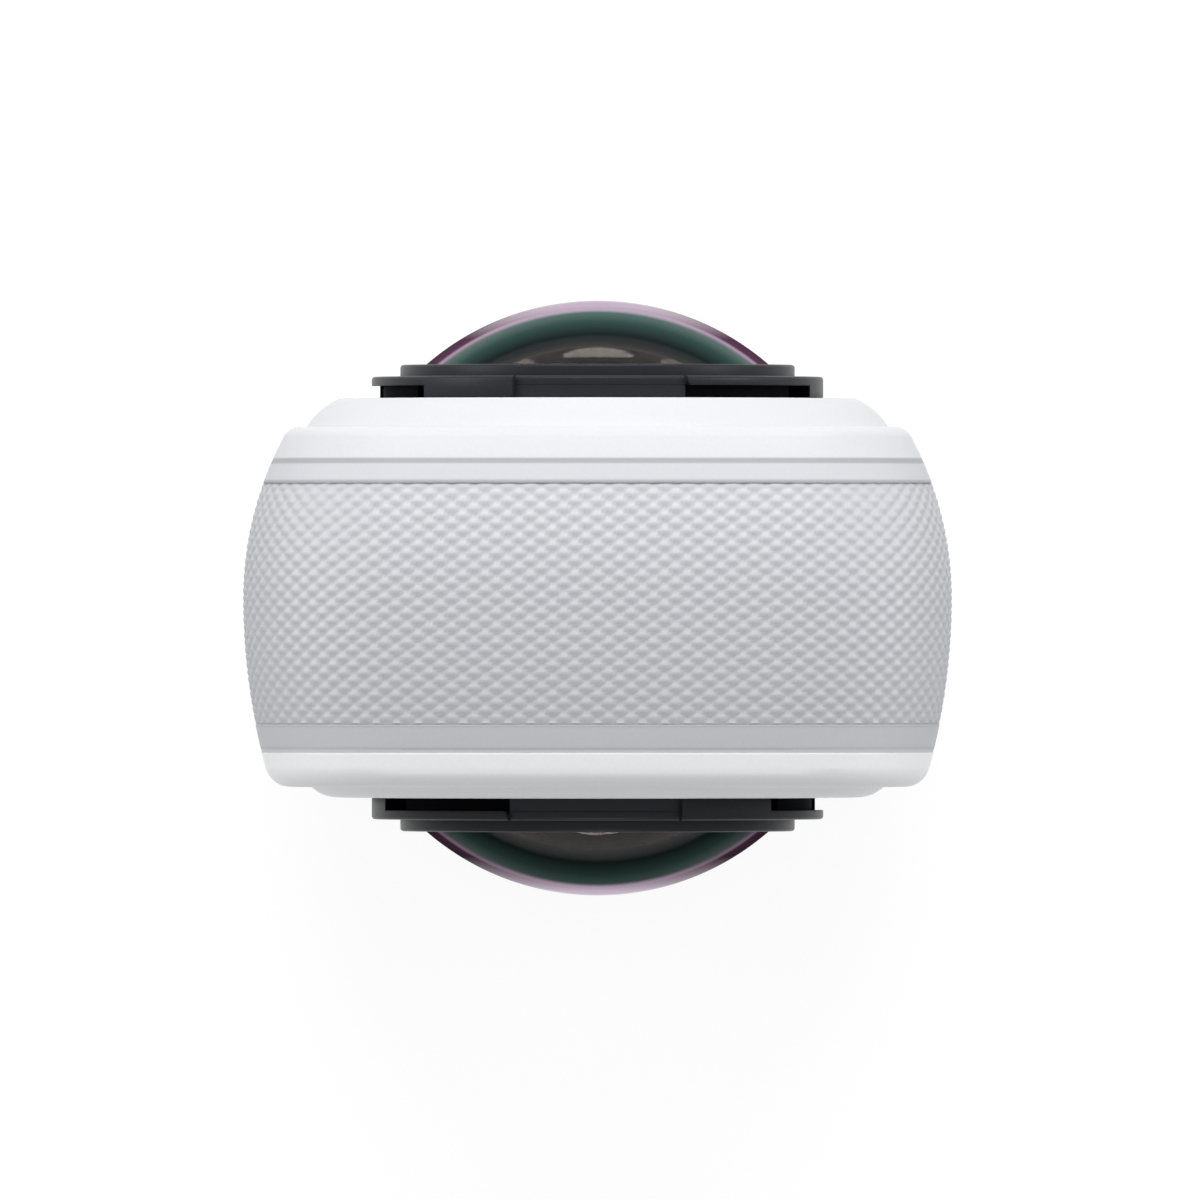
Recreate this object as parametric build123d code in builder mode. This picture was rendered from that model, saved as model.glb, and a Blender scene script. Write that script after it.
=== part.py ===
from build123d import *
from math import atan2, cos, pi, radians, sin, sqrt
import os

# A handheld 360 degree camera: two fisheye lenses back to back in a tall body.
# X runs across the body, +Y points out of the front lens, Z is up.
# The camera stands on its base plate at Z 0, with the origin under its middle.

# Body seen from the front
width = 46.0
height = 124.5
top_corner = 10.5
bottom_corner = 9.0

# Side of the body seen from above: two arcs that meet at the crest
front_bulge = 22.0
rear_bulge = 42.0
front_parting = 8.9
rear_parting = 9.88
front_gap = 0.1
rear_gap = 0.26
front_face = 11.1
rear_face = 12.25
front_edge = 1.2
rear_edge = 1.65
frame_wall = 3.4
cover_wall = 1.6
front_lip = 1.5
rear_lip = 1.9
plate_inset = 4.2
plate_lap = 1.8
overrun = 1.0

# Grip band in the side of the frame
grip_front = 7.5
grip_rear = 8.25
grip_depth = 1.2
grip_gap = 0.05

# Gaskets between the frame and its covers
gasket_inset = 2.4
gasket_width = 0.6
gasket_groove = 0.6
flat_gasket_inset = 1.6
flat_gasket_width = 1.4

# Plateau under each lens
lens_below_top = 23.0
front_plateau_margin = 4.0
rear_plateau_margin = 4.25
plateau_slope = 2.16
plateau_top = 13.0
plateau_swell = 0.16

# Bayonet lens ring
ring_ledge = 1.3
ring_shoulder = 1.5
ring_rise = 2.2
sleeve_inset = 0.1
sleeve_wall = 0.85
ring_sleeve_length = 3.2
ring_bevel = 0.25
ring_ground = 1.84
lug_reach = 0.7
lug_underside = 0.6
lug_count = 3
lug_start_angle = 23.5
lug_lip_angle = 46.5
lug_stop_angle = 28.0
lug_sink = 0.3
sleeve_gap = 0.15

# Ring seal under the lens ring
seal_width = 0.6
seal_inset = 0.2
seal_depth = 0.55
seal_gap = 0.05

# Lens stack
dome_lip = 0.58
lip_thickness = 0.2
dome_apex = 19.4
dome_seat = 13.4
dome_rim = 2.7
dome_thickness = 2.0
glass_gap = 0.05
barrel_gap = 0.4
waist_inset = 2.1
barrel_shoulder = 9.0
barrel_neck = 6.5
barrel_foot = 2.3
foot_flange = 1.0
barrel_foot_thickness = 1.0
mouth_rim = 0.6
barrel_cone = 10.2
inner_lens_inset = 2.25
inner_lens_seat = 8.4
inner_lens_edge = 1.4
inner_lens_apex = 12.6
inner_lens_rim = 3.25
inner_lens_bowl_depth = 2.1
relay_lens_inset = 2.8
relay_lens_seat = 5.2
relay_lens_edge = 2.2
relay_lens_apex = 8.3
stop_rim = 1.75
stop_thickness = 0.6
cavity_wall = 2.0
sensor_share = 0.6
sensor_height = 0.8

# Sensor boards and the bracket between them
bracket_thickness = 2.0
bracket_side_gap = 0.3
bracket_reach = 18.5
bracket_corner = 8.0
board_gap = 0.3
sensor_board_margin = 1.5
lug_pad_width = 3.4
lug_pad_height = 5.0
lug_pad_depth = 2.5
lug_pad_lower = 14.0
lug_pad_upper = 9.0
screw_radius = 0.8
screw_head = 1.6
screw_head_height = 0.6
screw_length = 2.0
screw_gap = 0.1

# Battery bay and the chassis walls round it
bay_floor = 21.5
bay_below_lens = 23.0
bay_front = 4.8
bay_rear = 8.4
side_room = 7.6
chassis_wall = 1.5
chassis_skin = 0.8
chassis_end_wall = 1.2
chassis_rear_skin = 1.0
deck_rear = 7.3
deck_thickness = 1.0

# Battery with its door
battery_clearance = 0.3
battery_end_gap = 1.2
battery_edge = 1.2
door_neck = 3.4
neck_inset = 0.8
door_overlap = 1.5
door_gap = 0.3
seal_squeeze = 0.15

# Thumb latches on the battery door
latch_width = 7.0
latch_length = 6.4
latch_travel = 2.0
latch_gap = 0.3
latch_depth = 2.0
latch_from_end = 5.5
latch_sink = 0.3
latch_rib_count = 4
latch_rib_pitch = 1.2
latch_rib_radius = 0.3
latch_corner = 1.0

# Battery contacts at the end of the bay
contact_width = 6.0
contact_height = 10.0
contact_depth = 0.8
contact_lift = 3.0

# Main board with its shield, spreader and card socket
main_board_rear = 7.4
board_thickness = 0.8
main_board_side_gap = 0.4
main_board_bottom = 22.0
main_board_over_bay = 0.5
board_corner = 1.5
post_side_inset = 3.1
post_end_inset = 1.5
post_bottom_inset = 4.0
post_top_inset = 7.0
board_post_radius = 1.8
board_screw_radius = 0.65
shield_width = 20.0
shield_end_room = 11.5
shield_height = 0.8
spreader_side = 3.0
spreader_end = 1.5
spreader_thickness = 0.4
card_socket_depth = 14.5
card_socket_width = 14.0
card_socket_thickness = 1.4
card_below_bay_top = 19.5
card_slot_width = 11.0
card_slot_height = 0.9
card_slot_depth = 11.0

# Side board, USB socket and USB door
side_board_thickness = 0.8
side_board_rear = 5.8
side_board_front = 4.2
side_board_under_usb = 8.0
side_board_below_bay_top = 1.0
usb_across = 0.4
usb_long = 9.0
usb_short = 3.2
usb_length = 6.4
usb_wall = 0.35
usb_tongue = 0.7
usb_tongue_margin = 0.9
usb_gap = 0.3
usb_door_length = 17.4
usb_rise = 9.3
usb_door_space = 1.0
usb_door_relief = 0.7
usb_land_long = 11.6
usb_land_short = 6.6
usb_land_depth = 1.5
usb_seal_depth = 0.8
usb_seal_wall = 1.0
usb_pocket_gap = 0.3
hinge_inset = 1.25
hinge_lift = 1.0
hinge_pin_radius = 0.5
hinge_running_gap = 0.05
hinge_knuckle = 0.9
hinge_knuckle_half = 3.3
hinge_ear_start = 3.6
hinge_ear_end = 5.4
hinge_relief = 1.9
hinge_gap = 0.15
hinge_notch_height = 1.2

# Side buttons
side_button_long = 8.0
side_button_short = 4.4
side_button_proud = 0.25
side_button_flange = 0.7
side_button_flange_thickness = 0.8
side_stem_radius = 1.4
power_below_bay_top = 5.5
side_button_spacing = 10.2
button_gap = 0.15
button_travel = 0.35
travel_reserve = 0.05
switch_size = 3.2
switch_height = 1.2

# Touch screen
glass_side_room = 2.1
glass_under_plateau = 1.95
glass_bottom = 22.8
glass_corner = 2.6
glass_thickness = 0.95
glass_slit = 0.15
glass_recess = 0.05
ledge = 1.2
panel_thickness = 1.5
panel_gap = 0.3

# Rear buttons
rear_button_radius = 5.0
rear_button_spread = 9.5
rear_button_height = 13.4
rear_button_proud = 0.3
rear_button_flange = 0.6
rear_button_flange_thickness = 0.5
rear_button_edge = 0.35
rear_button_dish = 30.0
rear_button_dish_depth = 0.3
rear_board_side_room = 4.6
rear_board_bottom = 8.0
rear_board_top = 19.0

# Small openings and what stands behind them
mic_hole = 0.5
mic_width = 3.0
mic_depth = 1.1
mic_mesh_radius = 1.1
mic_mesh_thickness = 0.15
mic_side_room = 4.6
mic_below_bay_top = 2.5
front_light_long = 6.0
front_light_short = 1.4
front_light_below_bay_top = 2.5
rear_light_radius = 0.8
rear_light_height = 20.4
light_flange = 0.6
light_flange_thickness = 0.5
light_recess = 0.05
speaker_width = 16.0
speaker_height = 10.5
speaker_depth = 3.0
speaker_middle = 12.0
speaker_hole = 0.55
speaker_hole_count = 5
speaker_hole_pitch = 2.0
fit_gap = 0.05

# Antenna and the sensor flexes
antenna_end_room = 1.5
antenna_depth = 8.0
antenna_thickness = 0.4
flex_width = 10.0
flex_thickness = 0.25
flex_foot = 1.4
flex_plug = 3.0
front_flex_offset = 6.0
rear_flex_offset = 6.0

# Base with its tripod socket
base_side_room = 6.0
base_depth = 17.0
base_corner = 4.0
base_thickness = 1.6
base_gap = 0.15
base_bevel = 0.4
bushing_radius = 4.75
bushing_bore = 2.6
bushing_length = 7.6
bushing_flange = 6.2
bushing_flange_thickness = 1.2
bushing_sink = 0.3
bushing_mouth = 0.5
boss_half_width = 8.0
boss_half_depth = 6.0
boss_top = 10.0
claw_slot_inset = 5.5
claw_slot_width = 2.6
claw_slot_length = 8.6
claw_slot_depth = 1.5
base_screw_side = 2.8
base_screw_end = 2.3
base_screw_head = 1.3
base_screw_length = 2.4
base_screw_radius = 0.7
base_screw_sink = 0.2

# Places and sizes worked out from the ones above
lens_height = height - lens_below_top
mid_height = height / 2
frame_front = front_parting - front_gap / 2
frame_rear = rear_parting - rear_gap / 2
inner_side = width / 2 - frame_wall
front_inside = front_face - cover_wall
rear_inside = rear_face - cover_wall

# Lens sizes, from the plateau inwards
front_plateau_foot = width / 2 - front_plateau_margin
rear_plateau_foot = width / 2 - rear_plateau_margin
plateau_brow = front_plateau_foot - plateau_slope
lug_radius = plateau_brow - ring_ground
ring_core = lug_radius - lug_reach
ring_collar = ring_core - ring_ledge
ring_sleeve = ring_collar - sleeve_inset
ring_bore = ring_sleeve - sleeve_wall
ring_shoulder_level = plateau_top + ring_shoulder
ring_top = plateau_top + ring_rise
ring_bottom = plateau_top - ring_sleeve_length
seal_outer = ring_core - seal_inset
seal_inner = seal_outer - seal_width
dome_flange = ring_bore - glass_gap
dome_opening = dome_flange - dome_lip
dome_rise = dome_apex - ring_top + lip_thickness
dome_radius = (dome_opening**2 + dome_rise**2) / (2 * dome_rise)
dome_centre = dome_apex - dome_radius
dome_hollow = dome_flange - dome_rim
barrel_radius = dome_flange - barrel_gap
barrel_mouth = barrel_radius - mouth_rim
barrel_waist = barrel_radius - waist_inset
barrel_foot_radius = barrel_waist + foot_flange
inner_lens_radius = barrel_mouth - inner_lens_inset
inner_lens_bowl = inner_lens_radius - inner_lens_rim
relay_lens_radius = inner_lens_radius - relay_lens_inset
stop_radius = relay_lens_radius - stop_rim
sensor_cavity = barrel_waist - cavity_wall
sensor_size = 2 * sensor_cavity * sensor_share
sensor_board_size = 2 * (barrel_foot_radius + sensor_board_margin)
bracket_half_width = inner_side - bracket_side_gap

# Chassis, boards and what they carry
bay_top = lens_height - bay_below_lens
bay_end = inner_side - side_room
chassis_front = bay_front + chassis_skin
chassis_rear = bay_rear + chassis_rear_skin
chassis_end = bay_end + chassis_end_wall
chassis_bottom = bay_floor - chassis_wall
chassis_top = bay_top + chassis_wall
board_front = main_board_rear + board_thickness
main_board_top = bay_top + main_board_over_bay
main_board_half_width = inner_side - main_board_side_gap
post_sides = (post_side_inset - inner_side, bay_end - post_end_inset)
post_levels = (main_board_bottom + post_bottom_inset, main_board_top - post_top_inset)
card_middle = bay_top - card_below_bay_top
side_board_face = chassis_end + side_board_thickness
usb_mouth = side_board_face + usb_length
power_middle = bay_top - power_below_bay_top
quick_middle = power_middle - side_button_spacing
usb_door_top = quick_middle - side_button_long / 2 - side_button_flange - usb_door_space
usb_door_bottom = usb_door_top - usb_door_length
usb_middle = usb_door_bottom + usb_rise
hinge_x = width / 2 - hinge_inset
hinge_z = usb_door_bottom + hinge_lift
pack_side = width / 2 - door_neck
rear_board_face = deck_rear + board_thickness
glass_width = 2 * (inner_side - glass_side_room)
glass_length = lens_height - rear_plateau_foot - glass_under_plateau - glass_bottom
front_mic_spread = inner_side - mic_side_room
front_mic_height = bay_top - mic_below_bay_top
front_light_height = bay_top - front_light_below_bay_top
base_width = width - 2 * base_side_room
claw_slot_offset = base_width / 2 - claw_slot_inset
base_screw_x = base_width / 2 - base_screw_side
base_screw_y = base_depth / 2 - base_screw_end


def skin_x(y, inset=0.0):
    """Half width of the body at depth y, or of a layer that lies inset under its skin."""
    bulge = front_bulge if y > 0 else rear_bulge
    return width / 2 - bulge + sqrt((bulge - inset) ** 2 - y**2)


def skin_line(start, end, inset=0.0, side=1):
    """Arcs along the skin from depth start to depth end, on the +X side or the -X side."""
    stops = [start, 0, end] if start * end < 0 else [start, end]
    for first, last in zip(stops, stops[1:]):
        middle = (first + last) / 2
        points = [(side * skin_x(y, inset), y) for y in (first, middle, last)]
        ThreePointArc(*points)


def layer_face(start, end, outer, inner, side=1):
    """Section of a layer under the skin, between two depths and two insets."""
    with BuildSketch() as section:
        with BuildLine():
            skin_line(start, end, outer, side)
            Line((side * skin_x(end, outer), end), (side * skin_x(end, inner), end))
            skin_line(end, start, inner, side)
            Line((side * skin_x(start, inner), start), (side * skin_x(start, outer), start))
        make_face()
    return section.sketch


def body_path():
    """Closed crest line of the body in the XZ plane, begun half way up the +X side."""
    half = width / 2
    with BuildLine(Plane.XZ) as path:
        rise = Line((half, mid_height), (half, height - top_corner))
        CenterArc((half - top_corner, height - top_corner), top_corner, 0, 90)
        Line((half - top_corner, height), (top_corner - half, height))
        CenterArc((top_corner - half, height - top_corner), top_corner, 90, 90)
        Line((-half, height - top_corner), (-half, bottom_corner))
        CenterArc((bottom_corner - half, bottom_corner), bottom_corner, 180, 90)
        Line((bottom_corner - half, 0), (half - bottom_corner, 0))
        CenterArc((half - bottom_corner, bottom_corner), bottom_corner, 270, 90)
        Line((half, bottom_corner), rise @ 0)
    return path.wire()


def outline_plate(inset, start, end):
    """Plate with the body's outline, drawn in by inset, between two depths."""
    with BuildSketch(Plane.XZ.offset(-start)) as face:
        with Locations((0, mid_height)):
            Rectangle(width - 2 * inset, height - 2 * inset)
        fillet(face.vertices().group_by(Axis.Y)[-1], top_corner - inset)
        fillet(face.vertices().group_by(Axis.Y)[0], bottom_corner - inset)
    extrude(face.sketch, amount=start - end)


def block(x0, x1, y0, y1, z0, z1, mode=Mode.ADD):
    """Box between two corners."""
    with Locations(((x0 + x1) / 2, (y0 + y1) / 2, (z0 + z1) / 2)):
        Box(x1 - x0, y1 - y0, z1 - z0, mode=mode)


def bar_x(y, z, radius, x0, x1, mode=Mode.ADD):
    """Round bar across the body."""
    with Locations(((x0 + x1) / 2, y, z)):
        Cylinder(radius, x1 - x0, rotation=(0, 90, 0), mode=mode)


def bar_y(x, z, radius, y0, y1, mode=Mode.ADD):
    """Round bar from rear to front."""
    with Locations((x, (y0 + y1) / 2, z)):
        Cylinder(radius, y1 - y0, rotation=(90, 0, 0), mode=mode)


def bar_z(x, y, radius, z0, z1, mode=Mode.ADD):
    """Upright round bar."""
    with Locations((x, y, (z0 + z1) / 2)):
        Cylinder(radius, z1 - z0, mode=mode)


def upright_slot(y, z, long, short, x0, x1, mode=Mode.ADD):
    """Upright slot shape carried along X."""
    with BuildSketch(Plane.YZ.offset(x0)) as face:
        with Locations((y, z)):
            SlotOverall(long, short, rotation=90)
    extrude(face.sketch, amount=x1 - x0, mode=mode)


def flat_rectangle(z0, z1, half, corner, y0, y1, mode=Mode.ADD):
    """Rounded rectangle about the middle plane, between two depths."""
    with BuildSketch(Plane.XZ.offset(-y0)) as face:
        with Locations((0, (z0 + z1) / 2)):
            RectangleRounded(2 * half, z1 - z0, corner)
    extrude(face.sketch, amount=y0 - y1, mode=mode)


def lens_plane(turn=0):
    """Half plane through the lens axis: its X is the radius, its Y runs along the axis."""
    angle = radians(turn)
    out = (sin(angle), 0, cos(angle))
    normal = (-cos(angle), 0, sin(angle))
    return Plane(origin=(0, 0, lens_height), x_dir=out, z_dir=normal)


lens_axis = Axis((0, 0, lens_height), (0, 1, 0))


def sphere_level(radius, centre, ball):
    """Height along the axis at which a ball has this radius."""
    return centre + sqrt(ball**2 - radius**2)


def keep(piece, name):
    """Label a finished piece and write it."""
    piece.part.label = name
    export_step(piece.part, f"parts/{name}.step")


def keep_pair(piece, name):
    """Write a front lens piece and its copy turned half round for the rear lens."""
    for side, turn in (("front", 0), ("rear", 180)):
        with BuildPart() as copy:
            add(piece.part, rotation=(0, 0, turn))
        keep(copy, f"{side}_{name}")


outline = body_path()


# Frame: a swept ring that carries the chassis walls, the decks and the lens pads

with BuildPart() as mid_frame:
    with BuildSketch(Plane.XY.offset(mid_height)):
        with BuildLine():
            skin_line(-frame_rear, -grip_rear)
            Line((skin_x(-grip_rear), -grip_rear), (skin_x(-grip_rear, grip_depth), -grip_rear))
            skin_line(-grip_rear, grip_front, grip_depth)
            Line((skin_x(grip_front, grip_depth), grip_front), (skin_x(grip_front), grip_front))
            skin_line(grip_front, frame_front)
            Line((skin_x(frame_front), frame_front), (inner_side, frame_front))
            Line((inner_side, frame_front), (inner_side, -frame_rear))
            Line((inner_side, -frame_rear), (skin_x(-frame_rear), -frame_rear))
        make_face()
    sweep(path=outline)

    # groove for the front gasket
    groove_outer = skin_x(frame_front) - gasket_inset / 4
    with BuildSketch(Plane.XY.offset(mid_height)):
        with Locations((groove_outer, frame_front)):
            Rectangle(gasket_width, gasket_groove, align=(Align.MAX, Align.MAX))
    sweep(path=outline, mode=Mode.SUBTRACT)

    # chassis round the battery bay, lower deck and tripod boss
    block(-inner_side, chassis_end, -chassis_rear, chassis_front, chassis_bottom, chassis_top)
    deck_corner = bottom_corner - frame_wall
    deck_top = chassis_bottom + deck_corner
    flat_rectangle(frame_wall, deck_top, inner_side, deck_corner, -deck_rear, deck_thickness - deck_rear)
    block(-boss_half_width, boss_half_width, -deck_rear, boss_half_depth, base_thickness, boss_top)
    block(-width / 2 - overrun, bay_end, -bay_rear, bay_front, bay_floor, bay_top, Mode.SUBTRACT)

    # pads that the lens bracket is screwed to
    for level in (lens_height - lug_pad_lower, lens_height + lug_pad_upper):
        for side in (-1, 1):
            outer = side * inner_side
            inner = outer - side * lug_pad_width
            low, high = min(outer, inner), max(outer, inner)
            pad_top = bracket_thickness / 2 + lug_pad_depth
            half = lug_pad_height / 2
            block(low, high, bracket_thickness / 2, pad_top, level - half, level + half)
            middle = (low + high) / 2
            bar_y(middle, level, screw_radius, bracket_thickness / 2, pad_top, Mode.SUBTRACT)

    # posts under the main board
    for x in post_sides:
        for z in post_levels:
            bar_y(x, z, board_post_radius, chassis_front, main_board_rear)
            bar_y(x, z, board_screw_radius, chassis_front, main_board_rear, Mode.SUBTRACT)

    # card slot beside the battery bay, behind the battery door
    card_middle_y = main_board_rear - card_socket_thickness / 2
    card_low = card_middle - card_slot_width / 2
    card_high = card_middle + card_slot_width / 2
    slot_low = card_middle_y - card_slot_height / 2
    slot_high = card_middle_y + card_slot_height / 2
    block(-width / 2, -inner_side + overrun, slot_low, slot_high, card_low, card_high, Mode.SUBTRACT)

    # port, seal pocket and hinge relief behind the USB door
    port_long = usb_long + 2 * usb_gap
    port_short = usb_short + 2 * usb_gap
    upright_slot(-usb_across, usb_middle, port_long, port_short, inner_side - overrun, width / 2, Mode.SUBTRACT)
    pocket_long = usb_land_long + 2 * usb_pocket_gap
    pocket_short = usb_land_short + 2 * usb_pocket_gap
    upright_slot(-usb_across, usb_middle, pocket_long, pocket_short, usb_mouth, width / 2, Mode.SUBTRACT)
    bar_y(hinge_x, hinge_z, hinge_relief, -grip_rear, grip_front, Mode.SUBTRACT)
    for side in (-1, 1):
        ends = sorted((side * hinge_ear_start, side * hinge_ear_end))
        bar_y(hinge_x, hinge_z, hinge_knuckle, *ends)
        root = inner_side + hinge_gap
        block(root, hinge_x, *ends, hinge_z - hinge_knuckle, hinge_z + hinge_knuckle)
        bar_y(hinge_x, hinge_z, hinge_pin_radius, *ends, Mode.SUBTRACT)

    # wells for the side buttons
    for level in (power_middle, quick_middle):
        long = side_button_long + 2 * button_gap
        short = side_button_short + 2 * button_gap
        upright_slot(0, level, long, short, inner_side - overrun, width / 2 + overrun, Mode.SUBTRACT)

    # pocket for the base plate, tripod bushing and claw slots
    with BuildSketch(Plane.XY.offset(-overrun)) as base_pocket:
        RectangleRounded(base_width + 2 * base_gap, base_depth + 2 * base_gap, base_corner + base_gap)
    extrude(base_pocket.sketch, amount=base_thickness + overrun, mode=Mode.SUBTRACT)
    bar_z(0, 0, bushing_radius, base_thickness, boss_top, Mode.SUBTRACT)
    flange_top = bushing_sink + bushing_flange_thickness + base_thickness
    bar_z(0, 0, bushing_flange, base_thickness, flange_top, Mode.SUBTRACT)
    for side in (-1, 1):
        low = side * claw_slot_offset - claw_slot_width / 2
        half = claw_slot_length / 2
        top = base_thickness + claw_slot_depth
        block(low, low + claw_slot_width, -half, half, base_thickness, top, Mode.SUBTRACT)
    for x in (-base_screw_x, base_screw_x):
        for y in (-base_screw_y, base_screw_y):
            top = base_thickness + base_screw_length
            bar_z(x, y, base_screw_radius, base_thickness, top, Mode.SUBTRACT)
keep(mid_frame, "mid_frame")


# Grip band, open where the battery door, the USB door, the side buttons and the base are

with BuildPart() as grip_band:
    band = layer_face(grip_gap - grip_rear, grip_front - grip_gap, 0, grip_depth - grip_gap)
    sweep(Plane.XY.offset(mid_height) * band, path=outline)
    door_low = bay_floor - door_overlap - door_gap
    door_high = bay_top + door_overlap + door_gap
    block(-width, -inner_side, -width, width, door_low, door_high, Mode.SUBTRACT)
    usb_low = usb_door_bottom - usb_door_relief
    usb_high = usb_door_top + door_gap
    block(inner_side, width, -width, width, usb_low, usb_high, Mode.SUBTRACT)
    for level in (power_middle, quick_middle):
        long = side_button_long + 2 * button_gap
        short = side_button_short + 2 * button_gap
        upright_slot(0, level, long, short, inner_side, width, Mode.SUBTRACT)
    with BuildSketch(Plane.XY.offset(-overrun)) as base_gap_face:
        RectangleRounded(base_width + 2 * base_gap, base_depth + 2 * base_gap, base_corner + base_gap)
    extrude(base_gap_face.sketch, amount=frame_wall + overrun, mode=Mode.SUBTRACT)

band_pieces = grip_band.part.solids().sort_by(Axis.Z)
lower_pieces = band_pieces[:2].sort_by(Axis.X)
names = ("grip_band_lower_left", "grip_band_lower_right", "grip_band")
for name, solid in zip(names, (lower_pieces[0], lower_pieces[1], band_pieces[-1])):
    with BuildPart() as band_piece:
        add(solid)
    keep(band_piece, name)


# Covers: a swept rounded edge, a face plate and the plateau under the lens


def cover_edge(side, bulge, parting, face, edge, lip):
    """Section of a cover's rim, from the parting line over the rounded edge to the face."""
    middle_x = width / 2 - bulge
    centre_y = face - edge
    centre_x = middle_x + sqrt((bulge - edge) ** 2 - centre_y**2)
    turn = atan2(centre_y, centre_x - middle_x)
    half_turn = (turn + pi / 2) / 2
    meet = (middle_x + bulge * cos(turn), side * bulge * sin(turn))
    over = (centre_x + edge * cos(half_turn), side * (centre_y + edge * sin(half_turn)))
    inner = width / 2 - plate_inset - plate_lap
    wall = skin_x(side * parting) - lip
    below = side * (face - cover_wall)
    middle = (parting + abs(meet[1])) / 2
    with BuildSketch() as section:
        with BuildLine():
            start = (skin_x(side * parting), side * parting)
            ThreePointArc(start, (skin_x(side * middle), side * middle), meet)
            ThreePointArc(meet, over, (centre_x, side * face))
            Polyline((centre_x, side * face), (inner, side * face), (inner, below),
                     (wall, below), (wall, side * parting), start)
        make_face()
    return section.sketch


def plateau(foot, face, inside, side):
    """Raised round ground of a lens, with the hole and seal groove that its ring needs."""
    hole = ring_sleeve + sleeve_gap
    swell_x = (foot + plateau_brow) / 2 + plateau_swell
    swell_y = (face + plateau_top) / 2 + plateau_swell
    with BuildSketch(lens_plane()) as ground:
        with BuildLine():
            Polyline((0, side * inside), (foot - cover_wall, side * inside), (foot, side * face))
            ThreePointArc((foot, side * face), (swell_x, side * swell_y), (plateau_brow, side * plateau_top))
            Polyline((plateau_brow, side * plateau_top), (0, side * plateau_top), (0, side * inside))
        make_face()
    revolve(ground.sketch, axis=lens_axis)
    ends = sorted((side * (inside - overrun), side * (plateau_top + overrun)))
    bar_y(0, lens_height, hole, *ends, Mode.SUBTRACT)
    with BuildSketch(lens_plane()) as groove:
        middle = (seal_inner + seal_outer) / 2
        with Locations((middle, side * (plateau_top - seal_depth / 2))):
            Rectangle(seal_outer - seal_inner + 2 * seal_gap, seal_depth)
    revolve(groove.sketch, axis=lens_axis, mode=Mode.SUBTRACT)


with BuildPart() as front_cover:
    edge = cover_edge(1, front_bulge, front_parting + front_gap / 2, front_face, front_edge, front_lip)
    sweep(Plane.XY.offset(mid_height) * edge, path=outline)
    outline_plate(plate_inset, front_inside, front_face)
    plateau(front_plateau_foot, front_face, front_inside, 1)
    for x in (-front_mic_spread, front_mic_spread):
        bar_y(x, front_mic_height, mic_hole, front_inside, front_face, Mode.SUBTRACT)
    with BuildSketch(Plane.XZ.offset(-front_inside)) as light_slot:
        with Locations((0, front_light_height)):
            SlotOverall(front_light_long + 2 * fit_gap, front_light_short + 2 * fit_gap)
    extrude(light_slot.sketch, amount=-cover_wall, mode=Mode.SUBTRACT)
    for index in range(speaker_hole_count):
        x = (index - (speaker_hole_count - 1) / 2) * speaker_hole_pitch
        bar_y(x, speaker_middle, speaker_hole, front_inside, front_face, Mode.SUBTRACT)
keep(front_cover, "front_cover")

with BuildPart() as rear_cover:
    edge = cover_edge(-1, rear_bulge, rear_parting + rear_gap / 2, rear_face, rear_edge, rear_lip)
    sweep(Plane.XY.offset(mid_height) * edge, path=outline)
    outline_plate(plate_inset, -rear_face, -rear_inside)
    plateau(rear_plateau_foot, rear_face, rear_inside, -1)

    # sunk window with a ledge that the glass is bonded to
    window = glass_width / 2 + glass_slit
    low = glass_bottom - glass_slit
    high = glass_bottom + glass_length + glass_slit
    corner = glass_corner + glass_slit
    seat = glass_recess + glass_thickness - rear_face
    flat_rectangle(low, high, window, corner, -rear_face - overrun, seat, Mode.SUBTRACT)
    low = glass_bottom + ledge
    high = glass_bottom + glass_length - ledge
    flat_rectangle(low, high, glass_width / 2 - ledge, glass_corner, -rear_face, -rear_inside, Mode.SUBTRACT)

    for x in (-rear_button_spread, rear_button_spread):
        hole = rear_button_radius + button_gap
        bar_y(x, rear_button_height, hole, -rear_face, -rear_inside, Mode.SUBTRACT)
    bar_y(0, rear_button_height, mic_hole, -rear_face, -rear_inside, Mode.SUBTRACT)
    bar_y(0, rear_light_height, rear_light_radius + fit_gap, -rear_face, -rear_inside, Mode.SUBTRACT)
keep(rear_cover, "rear_cover")


# Gaskets that follow the body's outline

with BuildPart() as front_cover_gasket:
    with BuildSketch(Plane.XY.offset(mid_height)):
        with Locations((groove_outer - seal_gap, frame_front + front_gap)):
            thickness = gasket_groove + front_gap
            Rectangle(gasket_width - 2 * seal_gap, thickness, align=(Align.MAX, Align.MAX))
    sweep(path=outline)
keep(front_cover_gasket, "front_cover_gasket")

with BuildPart() as rear_cover_gasket:
    with BuildSketch(Plane.XY.offset(mid_height)):
        with Locations((skin_x(-frame_rear) - flat_gasket_inset / 4, -frame_rear)):
            Rectangle(flat_gasket_width, rear_gap, align=(Align.MAX, Align.MAX))
    sweep(path=outline)
keep(rear_cover_gasket, "rear_cover_gasket")


# Bayonet ring: a sleeve that holds the dome, a collar, and three undercut lugs round it


def lug_profile(turn, bottom):
    """Section of a lug from its underside to the ring's shoulder, with a bevelled brow."""
    top = ring_shoulder_level
    inner = ring_core - lug_sink
    brow = lug_radius - ring_bevel
    with BuildSketch(lens_plane(turn)) as section:
        with BuildLine():
            Polyline((inner, bottom), (lug_radius, bottom), (lug_radius, top - ring_bevel),
                     (brow, top), (inner, top), (inner, bottom))
        make_face()
    return section.sketch


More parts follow.
